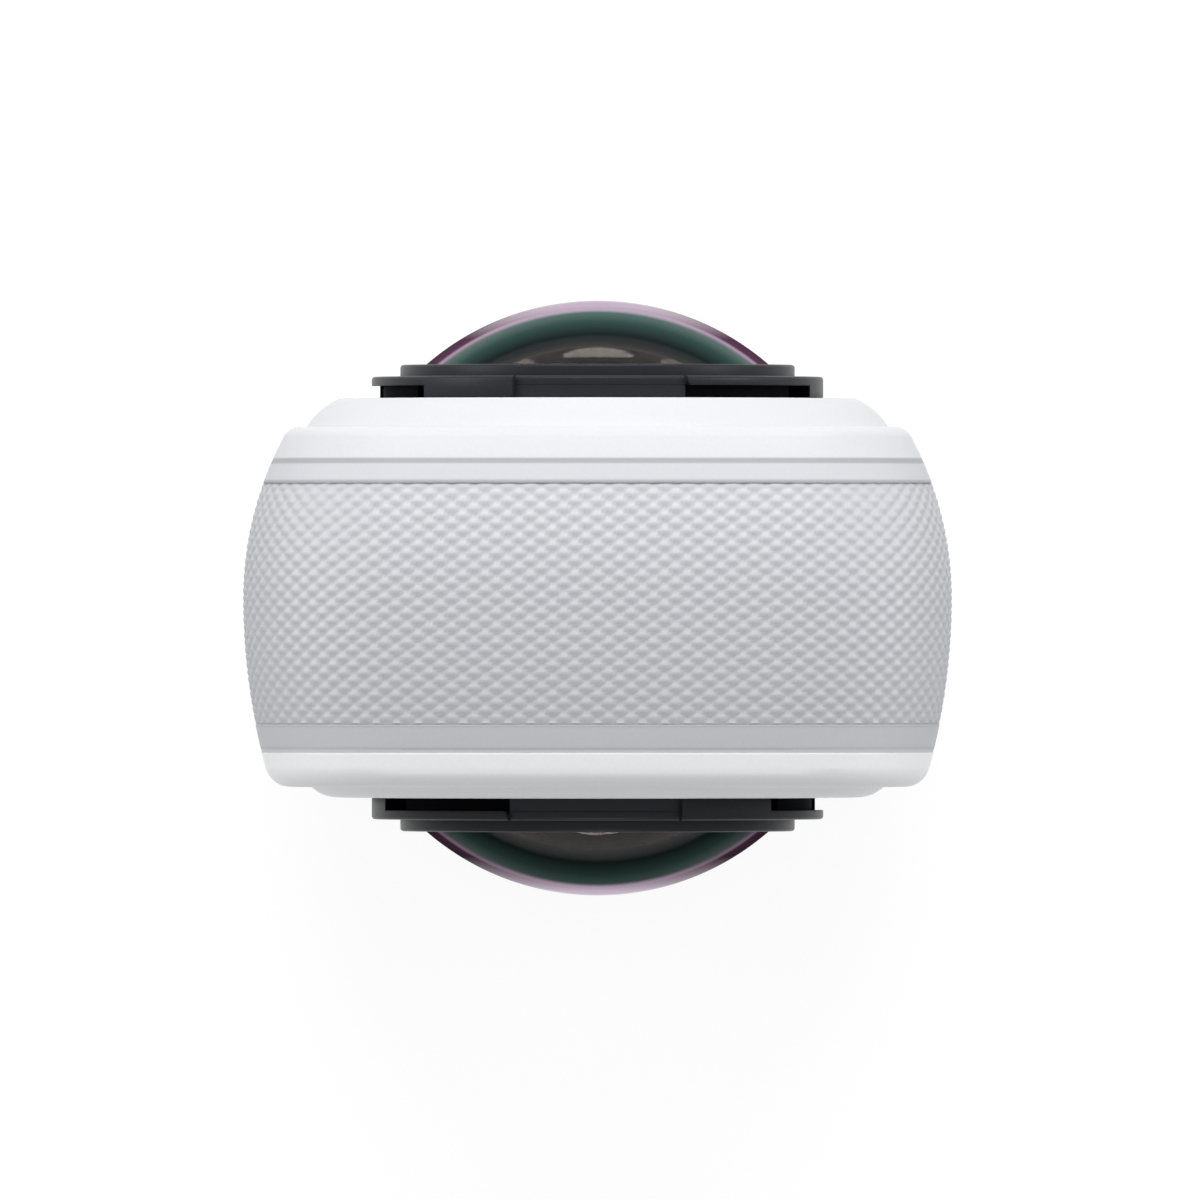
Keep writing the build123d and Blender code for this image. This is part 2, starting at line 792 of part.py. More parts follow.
with BuildPart() as bayonet_ring:
    ball = dome_radius + glass_gap
    tip = (dome_opening, sphere_level(dome_opening, dome_centre, ball))
    root = (ring_bore, sphere_level(ring_bore, dome_centre, ball))
    between = (dome_opening + ring_bore) / 2
    with BuildSketch(lens_plane()):
        with BuildLine():
            Polyline(root, (ring_bore, ring_bottom), (ring_sleeve, ring_bottom), (ring_sleeve, plateau_top),
                     (ring_core, plateau_top), (ring_core, ring_shoulder_level - ring_bevel),
                     (ring_core - ring_bevel, ring_shoulder_level), (ring_collar, ring_shoulder_level),
                     (ring_collar, ring_top - ring_bevel), (ring_collar - ring_bevel, ring_top),
                     (dome_opening + glass_gap, ring_top), tip)
            ThreePointArc(tip, (between, sphere_level(between, dome_centre, ball)), root)
        make_face()
    revolve(axis=lens_axis)
    for index in range(lug_count):
        start = lug_start_angle + index * 360 / lug_count
        lip = lug_profile(start, plateau_top + lug_underside)
        revolve(lip, axis=lens_axis, revolution_arc=lug_lip_angle)
        stop = lug_profile(start + lug_lip_angle, plateau_top)
        revolve(stop, axis=lens_axis, revolution_arc=lug_stop_angle)
keep_pair(bayonet_ring, "bayonet_ring")

with BuildPart() as lens_seal:
    with BuildSketch(lens_plane()):
        with Locations(((seal_inner + seal_outer) / 2, plateau_top)):
            Rectangle(seal_outer - seal_inner, seal_depth, align=(Align.CENTER, Align.MAX))
    revolve(axis=lens_axis)
keep_pair(lens_seal, "lens_seal")


# Lens stack: dome, meniscus, rear group, barrel and sensor board

with BuildPart() as dome_lens:
    hollow_apex = dome_apex - dome_thickness
    hollow_rise = hollow_apex - dome_seat
    hollow_ball = (dome_hollow**2 + hollow_rise**2) / (2 * hollow_rise)
    hollow_centre = hollow_apex - hollow_ball
    rim = (dome_flange, sphere_level(dome_flange, dome_centre, dome_radius))
    with BuildSketch(lens_plane()):
        with BuildLine():
            half = dome_flange / 2
            ThreePointArc((0, dome_apex), (half, sphere_level(half, dome_centre, dome_radius)), rim)
            Polyline(rim, (dome_flange, dome_seat), (dome_hollow, dome_seat))
            half = dome_hollow / 2
            across = (half, sphere_level(half, hollow_centre, hollow_ball))
            ThreePointArc((dome_hollow, dome_seat), across, (0, hollow_apex))
            Line((0, hollow_apex), (0, dome_apex))
        make_face()
    revolve(axis=lens_axis)
keep_pair(dome_lens, "dome_lens")

with BuildPart() as inner_lens:
    edge_top = inner_lens_seat + inner_lens_edge
    lens_radius = inner_lens_radius - glass_gap
    rise = inner_lens_apex - edge_top
    ball = (lens_radius**2 + rise**2) / (2 * rise)
    bowl_apex = inner_lens_seat + inner_lens_bowl_depth
    bowl = (inner_lens_bowl**2 + inner_lens_bowl_depth**2) / (2 * inner_lens_bowl_depth)
    with BuildSketch(lens_plane()):
        with BuildLine():
            half = lens_radius / 2
            across = (half, sphere_level(half, inner_lens_apex - ball, ball))
            ThreePointArc((0, inner_lens_apex), across, (lens_radius, edge_top))
            Polyline((lens_radius, edge_top), (lens_radius, inner_lens_seat), (inner_lens_bowl, inner_lens_seat))
            half = inner_lens_bowl / 2
            across = (half, sphere_level(half, bowl_apex - bowl, bowl))
            ThreePointArc((inner_lens_bowl, inner_lens_seat), across, (0, bowl_apex))
            Line((0, bowl_apex), (0, inner_lens_apex))
        make_face()
    revolve(axis=lens_axis)
keep_pair(inner_lens, "inner_lens")

with BuildPart() as relay_lens:
    edge_top = relay_lens_seat + relay_lens_edge
    lens_radius = relay_lens_radius - glass_gap
    rise = relay_lens_apex - edge_top
    ball = (lens_radius**2 + rise**2) / (2 * rise)
    with BuildSketch(lens_plane()):
        with BuildLine():
            half = lens_radius / 2
            across = (half, sphere_level(half, relay_lens_apex - ball, ball))
            ThreePointArc((0, relay_lens_apex), across, (lens_radius, edge_top))
            Polyline((lens_radius, edge_top), (lens_radius, relay_lens_seat), (0, relay_lens_seat),
                     (0, relay_lens_apex))
        make_face()
    revolve(axis=lens_axis)
keep_pair(relay_lens, "relay_lens")

with BuildPart() as lens_barrel:
    cavity_top = relay_lens_seat - stop_thickness
    foot_top = barrel_foot + barrel_foot_thickness
    mouth = dome_seat - glass_gap
    with BuildSketch(lens_plane()):
        with BuildLine():
            Polyline((sensor_cavity, barrel_foot), (barrel_foot_radius, barrel_foot),
                     (barrel_foot_radius, foot_top), (barrel_waist, foot_top), (barrel_waist, barrel_neck),
                     (barrel_radius, barrel_shoulder), (barrel_radius, mouth), (barrel_mouth, mouth),
                     (inner_lens_radius, barrel_cone), (inner_lens_radius, inner_lens_seat),
                     (relay_lens_radius, inner_lens_seat), (relay_lens_radius, relay_lens_seat),
                     (stop_radius, relay_lens_seat), (stop_radius, cavity_top),
                     (sensor_cavity, cavity_top), (sensor_cavity, barrel_foot))
        make_face()
    revolve(axis=lens_axis)
keep_pair(lens_barrel, "lens_barrel")

with BuildPart() as sensor_board:
    half = sensor_board_size / 2
    rear = bracket_thickness / 2 + board_gap
    block(-half, half, rear, barrel_foot, lens_height - half, lens_height + half)
    half = sensor_size / 2
    block(-half, half, barrel_foot, barrel_foot + sensor_height, lens_height - half, lens_height + half)
keep_pair(sensor_board, "sensor_board")

with BuildPart() as lens_bracket:
    low = lens_height - bracket_reach
    high = lens_height + bracket_reach
    front = bracket_thickness / 2
    flat_rectangle(low, high, bracket_half_width, bracket_corner, -front, front)
    pad_x = inner_side - lug_pad_width / 2
    for x in (-pad_x, pad_x):
        for level in (lens_height - lug_pad_lower, lens_height + lug_pad_upper):
            bar_y(x, level, screw_radius + screw_gap, -front, front, Mode.SUBTRACT)
    for side in (-1, 1):
        pad_rear = side * (front + board_gap)
        ends = sorted((side * front, pad_rear))
        half = sensor_size / 2
        block(-half, half, *ends, lens_height - half, lens_height + half)
keep(lens_bracket, "lens_bracket")

with BuildPart() as bracket_screws:
    for x in (-pad_x, pad_x):
        for level in (lens_height - lug_pad_lower, lens_height + lug_pad_upper):
            bar_y(x, level, screw_head, -front - screw_head_height, -front)
            bar_y(x, level, screw_radius - screw_gap / 2, -front, front + screw_length)
keep(bracket_screws, "bracket_screws")


# Battery: door, neck seal, pack and the two thumb latches

door_bottom = bay_floor - door_overlap
door_top = bay_top + door_overlap
pack_bottom = bay_floor + battery_clearance
pack_top = bay_top - battery_clearance
pack_rear = bay_rear - battery_clearance
pack_front = bay_front - battery_clearance
neck_end = skin_x(0) - grip_depth
seal_end = skin_x(-pack_rear) - grip_depth
latch_half = latch_width / 2
latch_well = (latch_length + latch_travel) / 2 + latch_gap
latch_levels = (door_bottom + latch_from_end + latch_well, door_top - latch_from_end - latch_well)
well_floor = width / 2 - latch_depth

with BuildPart() as battery_door:
    shell = layer_face(grip_gap - grip_rear, grip_front - grip_gap, 0, grip_depth - grip_gap, side=-1)
    extrude(Plane.XY.offset(door_bottom) * shell, amount=door_top - door_bottom)
    block(-neck_end, -pack_side, neck_inset - pack_rear, pack_front - neck_inset,
          pack_bottom + neck_inset, pack_top - neck_inset)
    for level in latch_levels:
        with BuildSketch(Plane.YZ.offset(-width)) as well:
            with Locations((0, level)):
                RectangleRounded(latch_width + 2 * latch_gap, 2 * latch_well, latch_corner + latch_gap)
        extrude(well.sketch, amount=width - well_floor, mode=Mode.SUBTRACT)
keep(battery_door, "battery_door")

with BuildPart() as battery_seal:
    with BuildSketch(Plane.YZ.offset(-seal_end)):
        with Locations(((pack_front - pack_rear) / 2, (pack_top + pack_bottom) / 2)):
            grow = 2 * (battery_clearance - seal_squeeze)
            Rectangle(pack_front + pack_rear + grow, pack_top - pack_bottom + grow)
            shrink = 2 * neck_inset
            Rectangle(pack_front + pack_rear - shrink, pack_top - pack_bottom - shrink, mode=Mode.SUBTRACT)
    extrude(amount=seal_end - pack_side - seal_gap)
keep(battery_seal, "battery_seal")

with BuildPart() as battery_pack:
    block(-pack_side, bay_end - battery_end_gap, -pack_rear, pack_front, pack_bottom, pack_top)
    fillet(battery_pack.edges().filter_by(Axis.X), battery_edge)
keep(battery_pack, "battery_pack")

for name, level, rest in (("battery_latch_lower", latch_levels[0], -1), ("battery_latch_upper", latch_levels[1], 1)):
    middle = level + rest * latch_travel / 2
    with BuildPart() as latch:
        with BuildSketch(Plane.YZ.offset(-width / 2)) as pad:
            with Locations((0, middle)):
                RectangleRounded(latch_width, latch_length, latch_corner)
        extrude(pad.sketch, amount=latch_depth - seal_gap)
        cap = layer_face(-latch_width, latch_width, latch_sink, latch_depth + overrun, side=-1)
        extrude(Plane.XY.offset(middle - latch_length) * cap, amount=2 * latch_length, mode=Mode.INTERSECT)
        for index in range(latch_rib_count):
            z = middle + (index - (latch_rib_count - 1) / 2) * latch_rib_pitch
            bar_y(latch_sink - width / 2, z, latch_rib_radius, -latch_half, latch_half, Mode.SUBTRACT)
    keep(latch, name)

with BuildPart() as battery_contacts:
    half = contact_width / 2
    low = bay_floor + contact_lift
    middle = (bay_front - bay_rear) / 2
    block(bay_end - contact_depth, bay_end, middle - half, middle + half, low, low + contact_height)
keep(battery_contacts, "battery_contacts")


# Main board and what it carries

with BuildPart() as main_board:
    flat_rectangle(main_board_bottom, main_board_top, main_board_half_width, board_corner,
                   main_board_rear, board_front)
    for x in post_sides:
        for z in post_levels:
            hole = board_screw_radius + screw_gap
            bar_y(x, z, hole, main_board_rear, board_front, Mode.SUBTRACT)
keep(main_board, "main_board")

with BuildPart() as board_screws:
    for x in post_sides:
        for z in post_levels:
            bar_y(x, z, screw_head, board_front, board_front + screw_head_height)
            bar_y(x, z, board_screw_radius - screw_gap / 2, chassis_front, board_front)
keep(board_screws, "board_screws")

with BuildPart() as shield_can:
    shield_low = main_board_bottom + shield_end_room
    shield_high = main_board_top - shield_end_room
    flat_rectangle(shield_low, shield_high, shield_width / 2, board_corner,
                   board_front, board_front + shield_height)
keep(shield_can, "shield_can")

with BuildPart() as heat_spreader:
    rear = board_front + shield_height
    half = shield_width / 2 + spreader_side
    flat_rectangle(shield_low - spreader_end, shield_high + spreader_end, half, board_corner,
                   rear, rear + spreader_thickness)
keep(heat_spreader, "heat_spreader")

with BuildPart() as card_socket:
    mouth = screw_gap - inner_side
    half = card_socket_width / 2
    block(mouth, mouth + card_socket_depth, main_board_rear - card_socket_thickness, main_board_rear,
          card_middle - half, card_middle + half)
    block(mouth, mouth + card_slot_depth, slot_low, slot_high, card_low, card_high, Mode.SUBTRACT)
keep(card_socket, "card_socket")


# Side board with the USB socket and the switches of the side buttons

with BuildPart() as side_board:
    low = usb_middle - side_board_under_usb
    high = bay_top - side_board_below_bay_top
    block(chassis_end, side_board_face, -side_board_rear, side_board_front, low, high)
keep(side_board, "side_board")

with BuildPart() as usb_socket:
    upright_slot(-usb_across, usb_middle, usb_long, usb_short, side_board_face, usb_mouth)
    back = side_board_face + usb_wall
    upright_slot(-usb_across, usb_middle, usb_long - 2 * usb_wall, usb_short - 2 * usb_wall,
                 back, usb_mouth, Mode.SUBTRACT)
    half = usb_long / 2 - usb_wall - usb_tongue_margin
    block(back, usb_mouth - usb_tongue, -usb_across - usb_tongue / 2, usb_tongue / 2 - usb_across,
          usb_middle - half, usb_middle + half)
keep(usb_socket, "usb_socket")

with BuildPart() as side_switches:
    for level in (power_middle, quick_middle):
        half = switch_size / 2
        block(side_board_face, side_board_face + switch_height, -half, half, level - half, level + half)
keep(side_switches, "side_switches")

for name, level in (("power_button", power_middle), ("quick_button", quick_middle)):
    with BuildPart() as side_button:
        upright_slot(0, level, side_button_long, side_button_short, inner_side, width / 2 + overrun)
        dome = layer_face(-side_button_short, side_button_short, -side_button_proud, frame_wall + overrun)
        extrude(Plane.XY.offset(level - side_button_long) * dome, amount=2 * side_button_long,
                mode=Mode.INTERSECT)
        long = side_button_long + 2 * side_button_flange
        short = side_button_short + 2 * side_button_flange
        back = inner_side - button_gap
        upright_slot(0, level, long, short, back - side_button_flange_thickness, back)
        upright_slot(0, level, side_button_long, side_button_short, back, inner_side)
        tip = side_board_face + switch_height + button_travel + travel_reserve
        bar_x(0, level, side_stem_radius, tip, back)
    keep(side_button, name)


# USB door with its knuckle, seal and hinge pin

with BuildPart() as usb_door:
    shell = layer_face(grip_gap - grip_rear, grip_front - grip_gap, 0, grip_depth - grip_gap)
    extrude(Plane.XY.offset(usb_door_bottom) * shell, amount=usb_door_top - usb_door_bottom)
    land = width / 2 - usb_land_depth
    upright_slot(-usb_across, usb_middle, usb_land_long, usb_land_short, land, width / 2 - grip_depth / 2)
    for side in (-1, 1):
        ends = sorted((side * (hinge_ear_start - hinge_gap), side * (hinge_ear_end + hinge_gap)))
        top = hinge_z + hinge_notch_height
        block(inner_side, width, *ends, usb_door_bottom - overrun, top, Mode.SUBTRACT)
    bar_y(hinge_x, hinge_z, hinge_knuckle, -hinge_knuckle_half, hinge_knuckle_half)
    hole = hinge_pin_radius + hinge_running_gap
    half = hinge_ear_start - hinge_gap
    bar_y(hinge_x, hinge_z, hole, -half, half, Mode.SUBTRACT)
keep(usb_door, "usb_door")

with BuildPart() as usb_door_seal:
    inset = 2 * usb_pocket_gap
    long = usb_land_long - inset
    short = usb_land_short - inset
    upright_slot(-usb_across, usb_middle, long, short, land - usb_seal_depth, land)
    upright_slot(-usb_across, usb_middle, long - 2 * usb_seal_wall, short - 2 * usb_seal_wall,
                 land - usb_seal_depth, land, Mode.SUBTRACT)
keep(usb_door_seal, "usb_door_seal")

with BuildPart() as usb_hinge_pin:
    bar_y(hinge_x, hinge_z, hinge_pin_radius, -hinge_ear_end, hinge_ear_end)
keep(usb_hinge_pin, "usb_hinge_pin")


# Touch screen

with BuildPart() as touch_glass:
    flat_rectangle(glass_bottom, glass_bottom + glass_length, glass_width / 2, glass_corner,
                   glass_recess - rear_face, glass_recess + glass_thickness - rear_face)
keep(touch_glass, "touch_glass")

with BuildPart() as display_panel:
    margin = ledge + panel_gap
    rear = glass_recess + glass_thickness - rear_face
    flat_rectangle(glass_bottom + margin, glass_bottom + glass_length - margin,
                   glass_width / 2 - margin, glass_corner - panel_gap, rear, rear + panel_thickness)
keep(display_panel, "display_panel")


# Rear buttons, their board and switches

for name, x in (("shutter_button", -rear_button_spread), ("lens_switch_button", rear_button_spread)):
    with BuildPart() as rear_button:
        top = rear_face + rear_button_proud
        flange = rear_inside - button_gap
        back = flange - rear_button_flange_thickness
        bar_y(x, rear_button_height, rear_button_radius, -top, -flange)
        chamfer(rear_button.faces().sort_by(Axis.Y)[0].edges(), rear_button_edge)
        bar_y(x, rear_button_height, rear_button_radius + rear_button_flange, -flange, -back)
        tip = rear_board_face + switch_height + button_travel + travel_reserve
        bar_y(x, rear_button_height, side_stem_radius, -back, -tip)
        with Locations((x, rear_button_dish_depth - top - rear_button_dish, rear_button_height)):
            Sphere(rear_button_dish, mode=Mode.SUBTRACT)
    keep(rear_button, name)

with BuildPart() as rear_button_board:
    half = inner_side - rear_board_side_room
    block(-half, half, -rear_board_face, -deck_rear, rear_board_bottom, rear_board_top)
keep(rear_button_board, "rear_button_board")

with BuildPart() as rear_switches:
    for x in (-rear_button_spread, rear_button_spread):
        half = switch_size / 2
        tall = rear_board_face + switch_height
        block(x - half, x + half, -tall, -rear_board_face, rear_button_height - half, rear_button_height + half)
keep(rear_switches, "rear_switches")


# Microphones, their meshes, the speaker and the light pipes

with BuildPart() as microphones:
    half = mic_width / 2
    for x in (-front_mic_spread, front_mic_spread):
        low, high = front_mic_height - half, front_mic_height + half
        block(x - half, x + half, board_front, board_front + mic_depth, low, high)
    low, high = rear_button_height - half, rear_button_height + half
    block(-half, half, -rear_board_face - mic_depth, -rear_board_face, low, high)
keep(microphones, "microphones")

with BuildPart() as mic_meshes:
    for x in (-front_mic_spread, front_mic_spread):
        bar_y(x, front_mic_height, mic_mesh_radius, front_inside - mic_mesh_thickness, front_inside)
    bar_y(0, rear_button_height, mic_mesh_radius, -rear_inside, mic_mesh_thickness - rear_inside)
keep(mic_meshes, "mic_meshes")

with BuildPart() as speaker:
    half = speaker_width / 2
    front = front_inside - fit_gap
    tall = speaker_height / 2
    block(-half, half, front - speaker_depth, front, speaker_middle - tall, speaker_middle + tall)
    fillet(speaker.edges().filter_by(Axis.Y), board_corner)
keep(speaker, "speaker")

with BuildPart() as front_light:
    front = front_face - light_recess
    with BuildSketch(Plane.XZ.offset(-front)) as window_face:
        with Locations((0, front_light_height)):
            SlotOverall(front_light_long, front_light_short)
    extrude(window_face.sketch, amount=front - front_inside + light_flange_thickness)
    with BuildSketch(Plane.XZ.offset(-front_inside)) as flange_face:
        with Locations((0, front_light_height)):
            SlotOverall(front_light_long + 2 * light_flange, front_light_short + 2 * light_flange)
    extrude(flange_face.sketch, amount=light_flange_thickness)
keep(front_light, "front_light")

with BuildPart() as rear_light:
    back = rear_inside - light_flange_thickness
    bar_y(0, rear_light_height, rear_light_radius, light_recess - rear_face, -back)
    bar_y(0, rear_light_height, rear_light_radius + light_flange, -rear_inside, -back)
keep(rear_light, "rear_light")


# Antenna under the top wall and the flexes from the sensors to the main board

with BuildPart() as antenna:
    top = height - frame_wall
    half = width / 2 - top_corner - antenna_end_room
    block(-half, half, -antenna_depth / 2, antenna_depth / 2, top - antenna_thickness, top)
keep(antenna, "antenna")

with BuildPart() as sensor_flexes:
    low = chassis_top + flex_thickness
    plug = main_board_top - flex_plug
    foot = lens_height - sensor_board_size / 2 + flex_foot
    rest = barrel_foot + flex_thickness
    for offset, start in ((front_flex_offset, barrel_foot), (-rear_flex_offset, -rest)):
        end = start + flex_thickness
        with BuildSketch(Plane.YZ.offset(offset - flex_width / 2)) as strip:
            with BuildLine():
                Polyline((start, foot), (start, low), (board_front, low), (board_front, plug),
                         (board_front + flex_thickness, plug),
                         (board_front + flex_thickness, low + flex_thickness),
                         (end, low + flex_thickness), (end, foot), (start, foot))
            make_face()
        extrude(strip.sketch, amount=flex_width)
keep(sensor_flexes, "sensor_flexes")


# Base plate, tripod bushing and screws

with BuildPart() as base_plate:
    with BuildSketch():
        RectangleRounded(base_width, base_depth, base_corner)
        Circle(bushing_radius + base_gap, mode=Mode.SUBTRACT)
        with Locations((-claw_slot_offset, 0), (claw_slot_offset, 0)):
            Rectangle(claw_slot_width, claw_slot_length, mode=Mode.SUBTRACT)
    extrude(amount=base_thickness - fit_gap)
    chamfer(base_plate.faces().sort_by(Axis.Z)[0].outer_wire().edges(), base_bevel)
    for x in (-base_screw_x, base_screw_x):
        for y in (-base_screw_y, base_screw_y):
            bar_z(x, y, base_screw_radius + screw_gap, 0, base_thickness, Mode.SUBTRACT)
            top = base_screw_sink + screw_head_height
            bar_z(x, y, base_screw_head + screw_gap, 0, top, Mode.SUBTRACT)
keep(base_plate, "base_plate")

with BuildPart() as tripod_bushing:
    bar_z(0, 0, bushing_radius - fit_gap, bushing_sink, bushing_sink + bushing_length)
    flange_low = base_thickness + fit_gap
    bar_z(0, 0, bushing_flange - fit_gap, flange_low, flange_top - fit_gap)
    bar_z(0, 0, bushing_bore, 0, height, Mode.SUBTRACT)
    mouth_edges = tripod_bushing.faces().sort_by(Axis.Z)[0].inner_wires()[0].edges()
    chamfer(mouth_edges, bushing_mouth)
keep(tripod_bushing, "tripod_bushing")

with BuildPart() as base_screws:
    for x in (-base_screw_x, base_screw_x):
        for y in (-base_screw_y, base_screw_y):
            top = base_screw_sink + screw_head_height
            bar_z(x, y, base_screw_head, base_screw_sink, top)
            bar_z(x, y, base_screw_radius - fit_gap, top, base_thickness + base_screw_length)
keep(base_screws, "base_screws")
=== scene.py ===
# %% [markdown]
# A 360 degree camera seen from straight above: a knurled white band between two smooth
# white casings, and on each casing a black bayonet ring with a fisheye dome. The solids
# of the camera come in first.

# %% The camera's solids
import bmesh
import bpy
import numpy as np
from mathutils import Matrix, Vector


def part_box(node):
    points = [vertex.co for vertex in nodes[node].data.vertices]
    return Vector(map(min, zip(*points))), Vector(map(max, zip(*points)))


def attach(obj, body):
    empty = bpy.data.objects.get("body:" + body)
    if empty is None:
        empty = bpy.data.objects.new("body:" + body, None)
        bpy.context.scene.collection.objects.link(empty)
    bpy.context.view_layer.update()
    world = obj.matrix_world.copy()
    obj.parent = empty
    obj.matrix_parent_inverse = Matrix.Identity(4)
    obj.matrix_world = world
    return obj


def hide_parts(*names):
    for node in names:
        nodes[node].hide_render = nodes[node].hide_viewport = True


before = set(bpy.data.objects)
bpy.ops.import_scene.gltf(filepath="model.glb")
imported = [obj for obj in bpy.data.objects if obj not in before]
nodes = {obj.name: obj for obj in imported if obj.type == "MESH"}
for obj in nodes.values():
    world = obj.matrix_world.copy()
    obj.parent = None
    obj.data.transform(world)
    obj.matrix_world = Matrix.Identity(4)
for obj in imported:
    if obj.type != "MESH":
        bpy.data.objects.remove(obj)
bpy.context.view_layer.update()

# %% [markdown]
# The outline of the body is a rounded rectangle in X and Z, and its sides swell between
# two arcs in Y. The band and the joint strips need both, so they are written down once,
# in metres. A place on the outline is the way to it from the middle of the top: over half
# of the flat top, round the top corner, down the straight side and round the low corner.

# %% Sizes of the body
MM = 0.001
WIDTH, HEIGHT = 46.0 * MM, 124.5 * MM
TOP_CORNER, BOTTOM_CORNER = 10.5 * MM, 9.0 * MM
FRONT_BULGE, REAR_BULGE = 22.0 * MM, 42.0 * MM
LENS_HEIGHT = 101.5 * MM
FRONT_JOINT, FRONT_BAND_EDGE = 8.9 * MM, 7.48 * MM
REAR_BAND_EDGE, REAR_JOINT = -8.22 * MM, -9.80 * MM
FLAT = WIDTH / 2 - TOP_CORNER
ARC = TOP_CORNER * np.pi / 2
STRAIGHT = HEIGHT - TOP_CORNER - BOTTOM_CORNER
LOW_ARC = BOTTOM_CORNER * np.pi / 2
for part, length in (("flat", FLAT), ("top arc", ARC), ("straight", STRAIGHT), ("low arc", LOW_ARC)):
    print("outline:", part, round(length / MM, 2), "mm")

# %% [markdown]
# Every finish is a small graph of shader nodes. Each of these helpers adds one thing to a
# graph: a node with its inputs, a sum, a blend of two colours or the Object coordinates.

# %% Helpers for node graphs
BLACK, WHITE = (0, 0, 0), (1, 1, 1)


def fresh(name):
    """New material, its node tree and its Principled shader."""
    material = bpy.data.materials.new(name)
    material.use_nodes = True
    return material, material.node_tree, material.node_tree.nodes["Principled BSDF"]


def add(tree, kind, inputs, **options):
    """New node: its options first, then each input, linked from a socket or typed in."""
    node = tree.nodes.new("ShaderNode" + kind)
    for key, option in options.items():
        setattr(node, key, option)
    for key, source in inputs.items():
        if isinstance(source, bpy.types.NodeSocket):
            tree.links.new(source, node.inputs[key])
        else:
            node.inputs[key].default_value = source
    return node


def calc(tree, operation, *terms):
    """Result of one Math node over sockets and numbers."""
    return add(tree, "Math", dict(enumerate(terms)), operation=operation).outputs[0]


def away_from(tree, source, centre):
    """Distance of a coordinate from a centre."""
    return calc(tree, "ABSOLUTE", calc(tree, "SUBTRACT", source, centre))


def blend(tree, amount, first, second):
    """Colour between two, each a socket or a colour."""
    mix = add(tree, "Mix", {"Factor": amount, "A": first, "B": second}, data_type="RGBA")
    return mix.outputs["Result"]


def object_place(tree):
    """The Object coordinates of the surface as one vector."""
    return add(tree, "TexCoord", {}).outputs["Object"]


def object_axes(tree):
    """The Object coordinates of the surface as sockets X, Y and Z."""
    return add(tree, "SeparateXYZ", {0: object_place(tree)}).outputs


def off_axis(tree, x, z):
    """Distance of the surface from a line along Y through x and z."""
    flat = add(tree, "VectorMath", {0: object_place(tree), 1: (1, 0, 1), 2: (-x, 0, -z)},
               operation="MULTIPLY_ADD")
    return add(tree, "VectorMath", {0: flat.outputs[0]}, operation="LENGTH").outputs["Value"]


def colour_so_far(material):
    """Node tree, base colour input and the socket that feeds it."""
    tree = material.node_tree
    colour = tree.nodes["Principled BSDF"].inputs["Base Color"]
    return tree, colour, colour.links[0].from_socket


def dress(material, *names):
    """Give a finish to the named solids."""
    for name in names:
        for slot in nodes[name].material_slots:
            slot.material = material
    print(material.name, "on", len(names), "pieces")


# %% [markdown]
# Every moulded surface starts from one Principled material. A fine noise in Object
# coordinates gives the tone a little variation and the gloss a grain, as injection
# moulded plastic has from its etched tool.

# %% Moulded and machined finishes
GRAIN_SCALE, GRAIN_DETAIL, GRAIN_STRENGTH = 4000.0, 3.0, 0.6


def finish_material(name, colour, rough, metal=0.0, grain=0.0, tone=0.03, spread=0.06, gloss=0.5, edge=0.0):
    """Principled finish whose colour and roughness vary with one noise.

    The noise takes the share tone off the colour or adds it, and it moves the roughness by
    spread either way. A grain is the depth of a bump of the same noise. An edge, for
    finishes with a grain, is the radius of softly broken edges. Both are in metres."""
    material, tree, shader = fresh(name)
    shader.inputs["Metallic"].default_value = metal
    shader.inputs["Specular IOR Level"].default_value = gloss
    noise = add(tree, "TexNoise", {"Vector": object_place(tree), "Scale": GRAIN_SCALE,
                                   "Detail": GRAIN_DETAIL}).outputs["Fac"]
    darker = [c * (1 - tone) for c in colour] + [1]
    lighter = [min(1.0, c * (1 + tone)) for c in colour] + [1]
    tree.links.new(blend(tree, noise, darker, lighter), shader.inputs["Base Color"])
    sheen = add(tree, "MapRange", {"Value": noise, "To Min": max(0.0, rough - spread),
                                   "To Max": min(1.0, rough + spread)})
    tree.links.new(sheen.outputs["Result"], shader.inputs["Roughness"])
    if grain:
        relief = {"Height": noise, "Strength": GRAIN_STRENGTH, "Distance": grain}
        if edge:
            relief["Normal"] = add(tree, "Bevel", {"Radius": edge}, samples=6).outputs["Normal"]
        tree.links.new(add(tree, "Bump", relief).outputs["Normal"], shader.inputs["Normal"])
    return material


# %% [markdown]
# The casings and the frame are white polycarbonate with a soft satin: cool white, a very
# fine etched grain, no wear. The front casing's white is painted darker, a painted shade,
# and the rear casing's lighter, a painted light; the real casings share one white. Along
# the joints the moulded edges are rounded off and hold less light. A shade in the colour
# draws that soft line, and the narrow strip inside the joint has the same shade.


# %% White casings with a soft shade along the joints
def joint_shade(material, levels, width, share):
    """Darken a finish by a share at each level of Y, fading out at the width from it.

    The middle third of the shade is even."""
    tree, colour, before = colour_so_far(material)
    y = object_axes(tree)["Y"]
    for level in levels:
        shade = add(tree, "MapRange", {"Value": away_from(tree, y, level), "From Min": width / 3,
                                       "From Max": width, "To Min": 1 - share},
                    interpolation_type="SMOOTHSTEP")
        darker = add(tree, "VectorMath", {0: before, "Scale": shade.outputs["Result"]}, operation="SCALE")
        before = darker.outputs[0]
    tree.links.new(before, colour)
    print(material.name, "shaded at", [round(level / MM, 2) for level in levels])


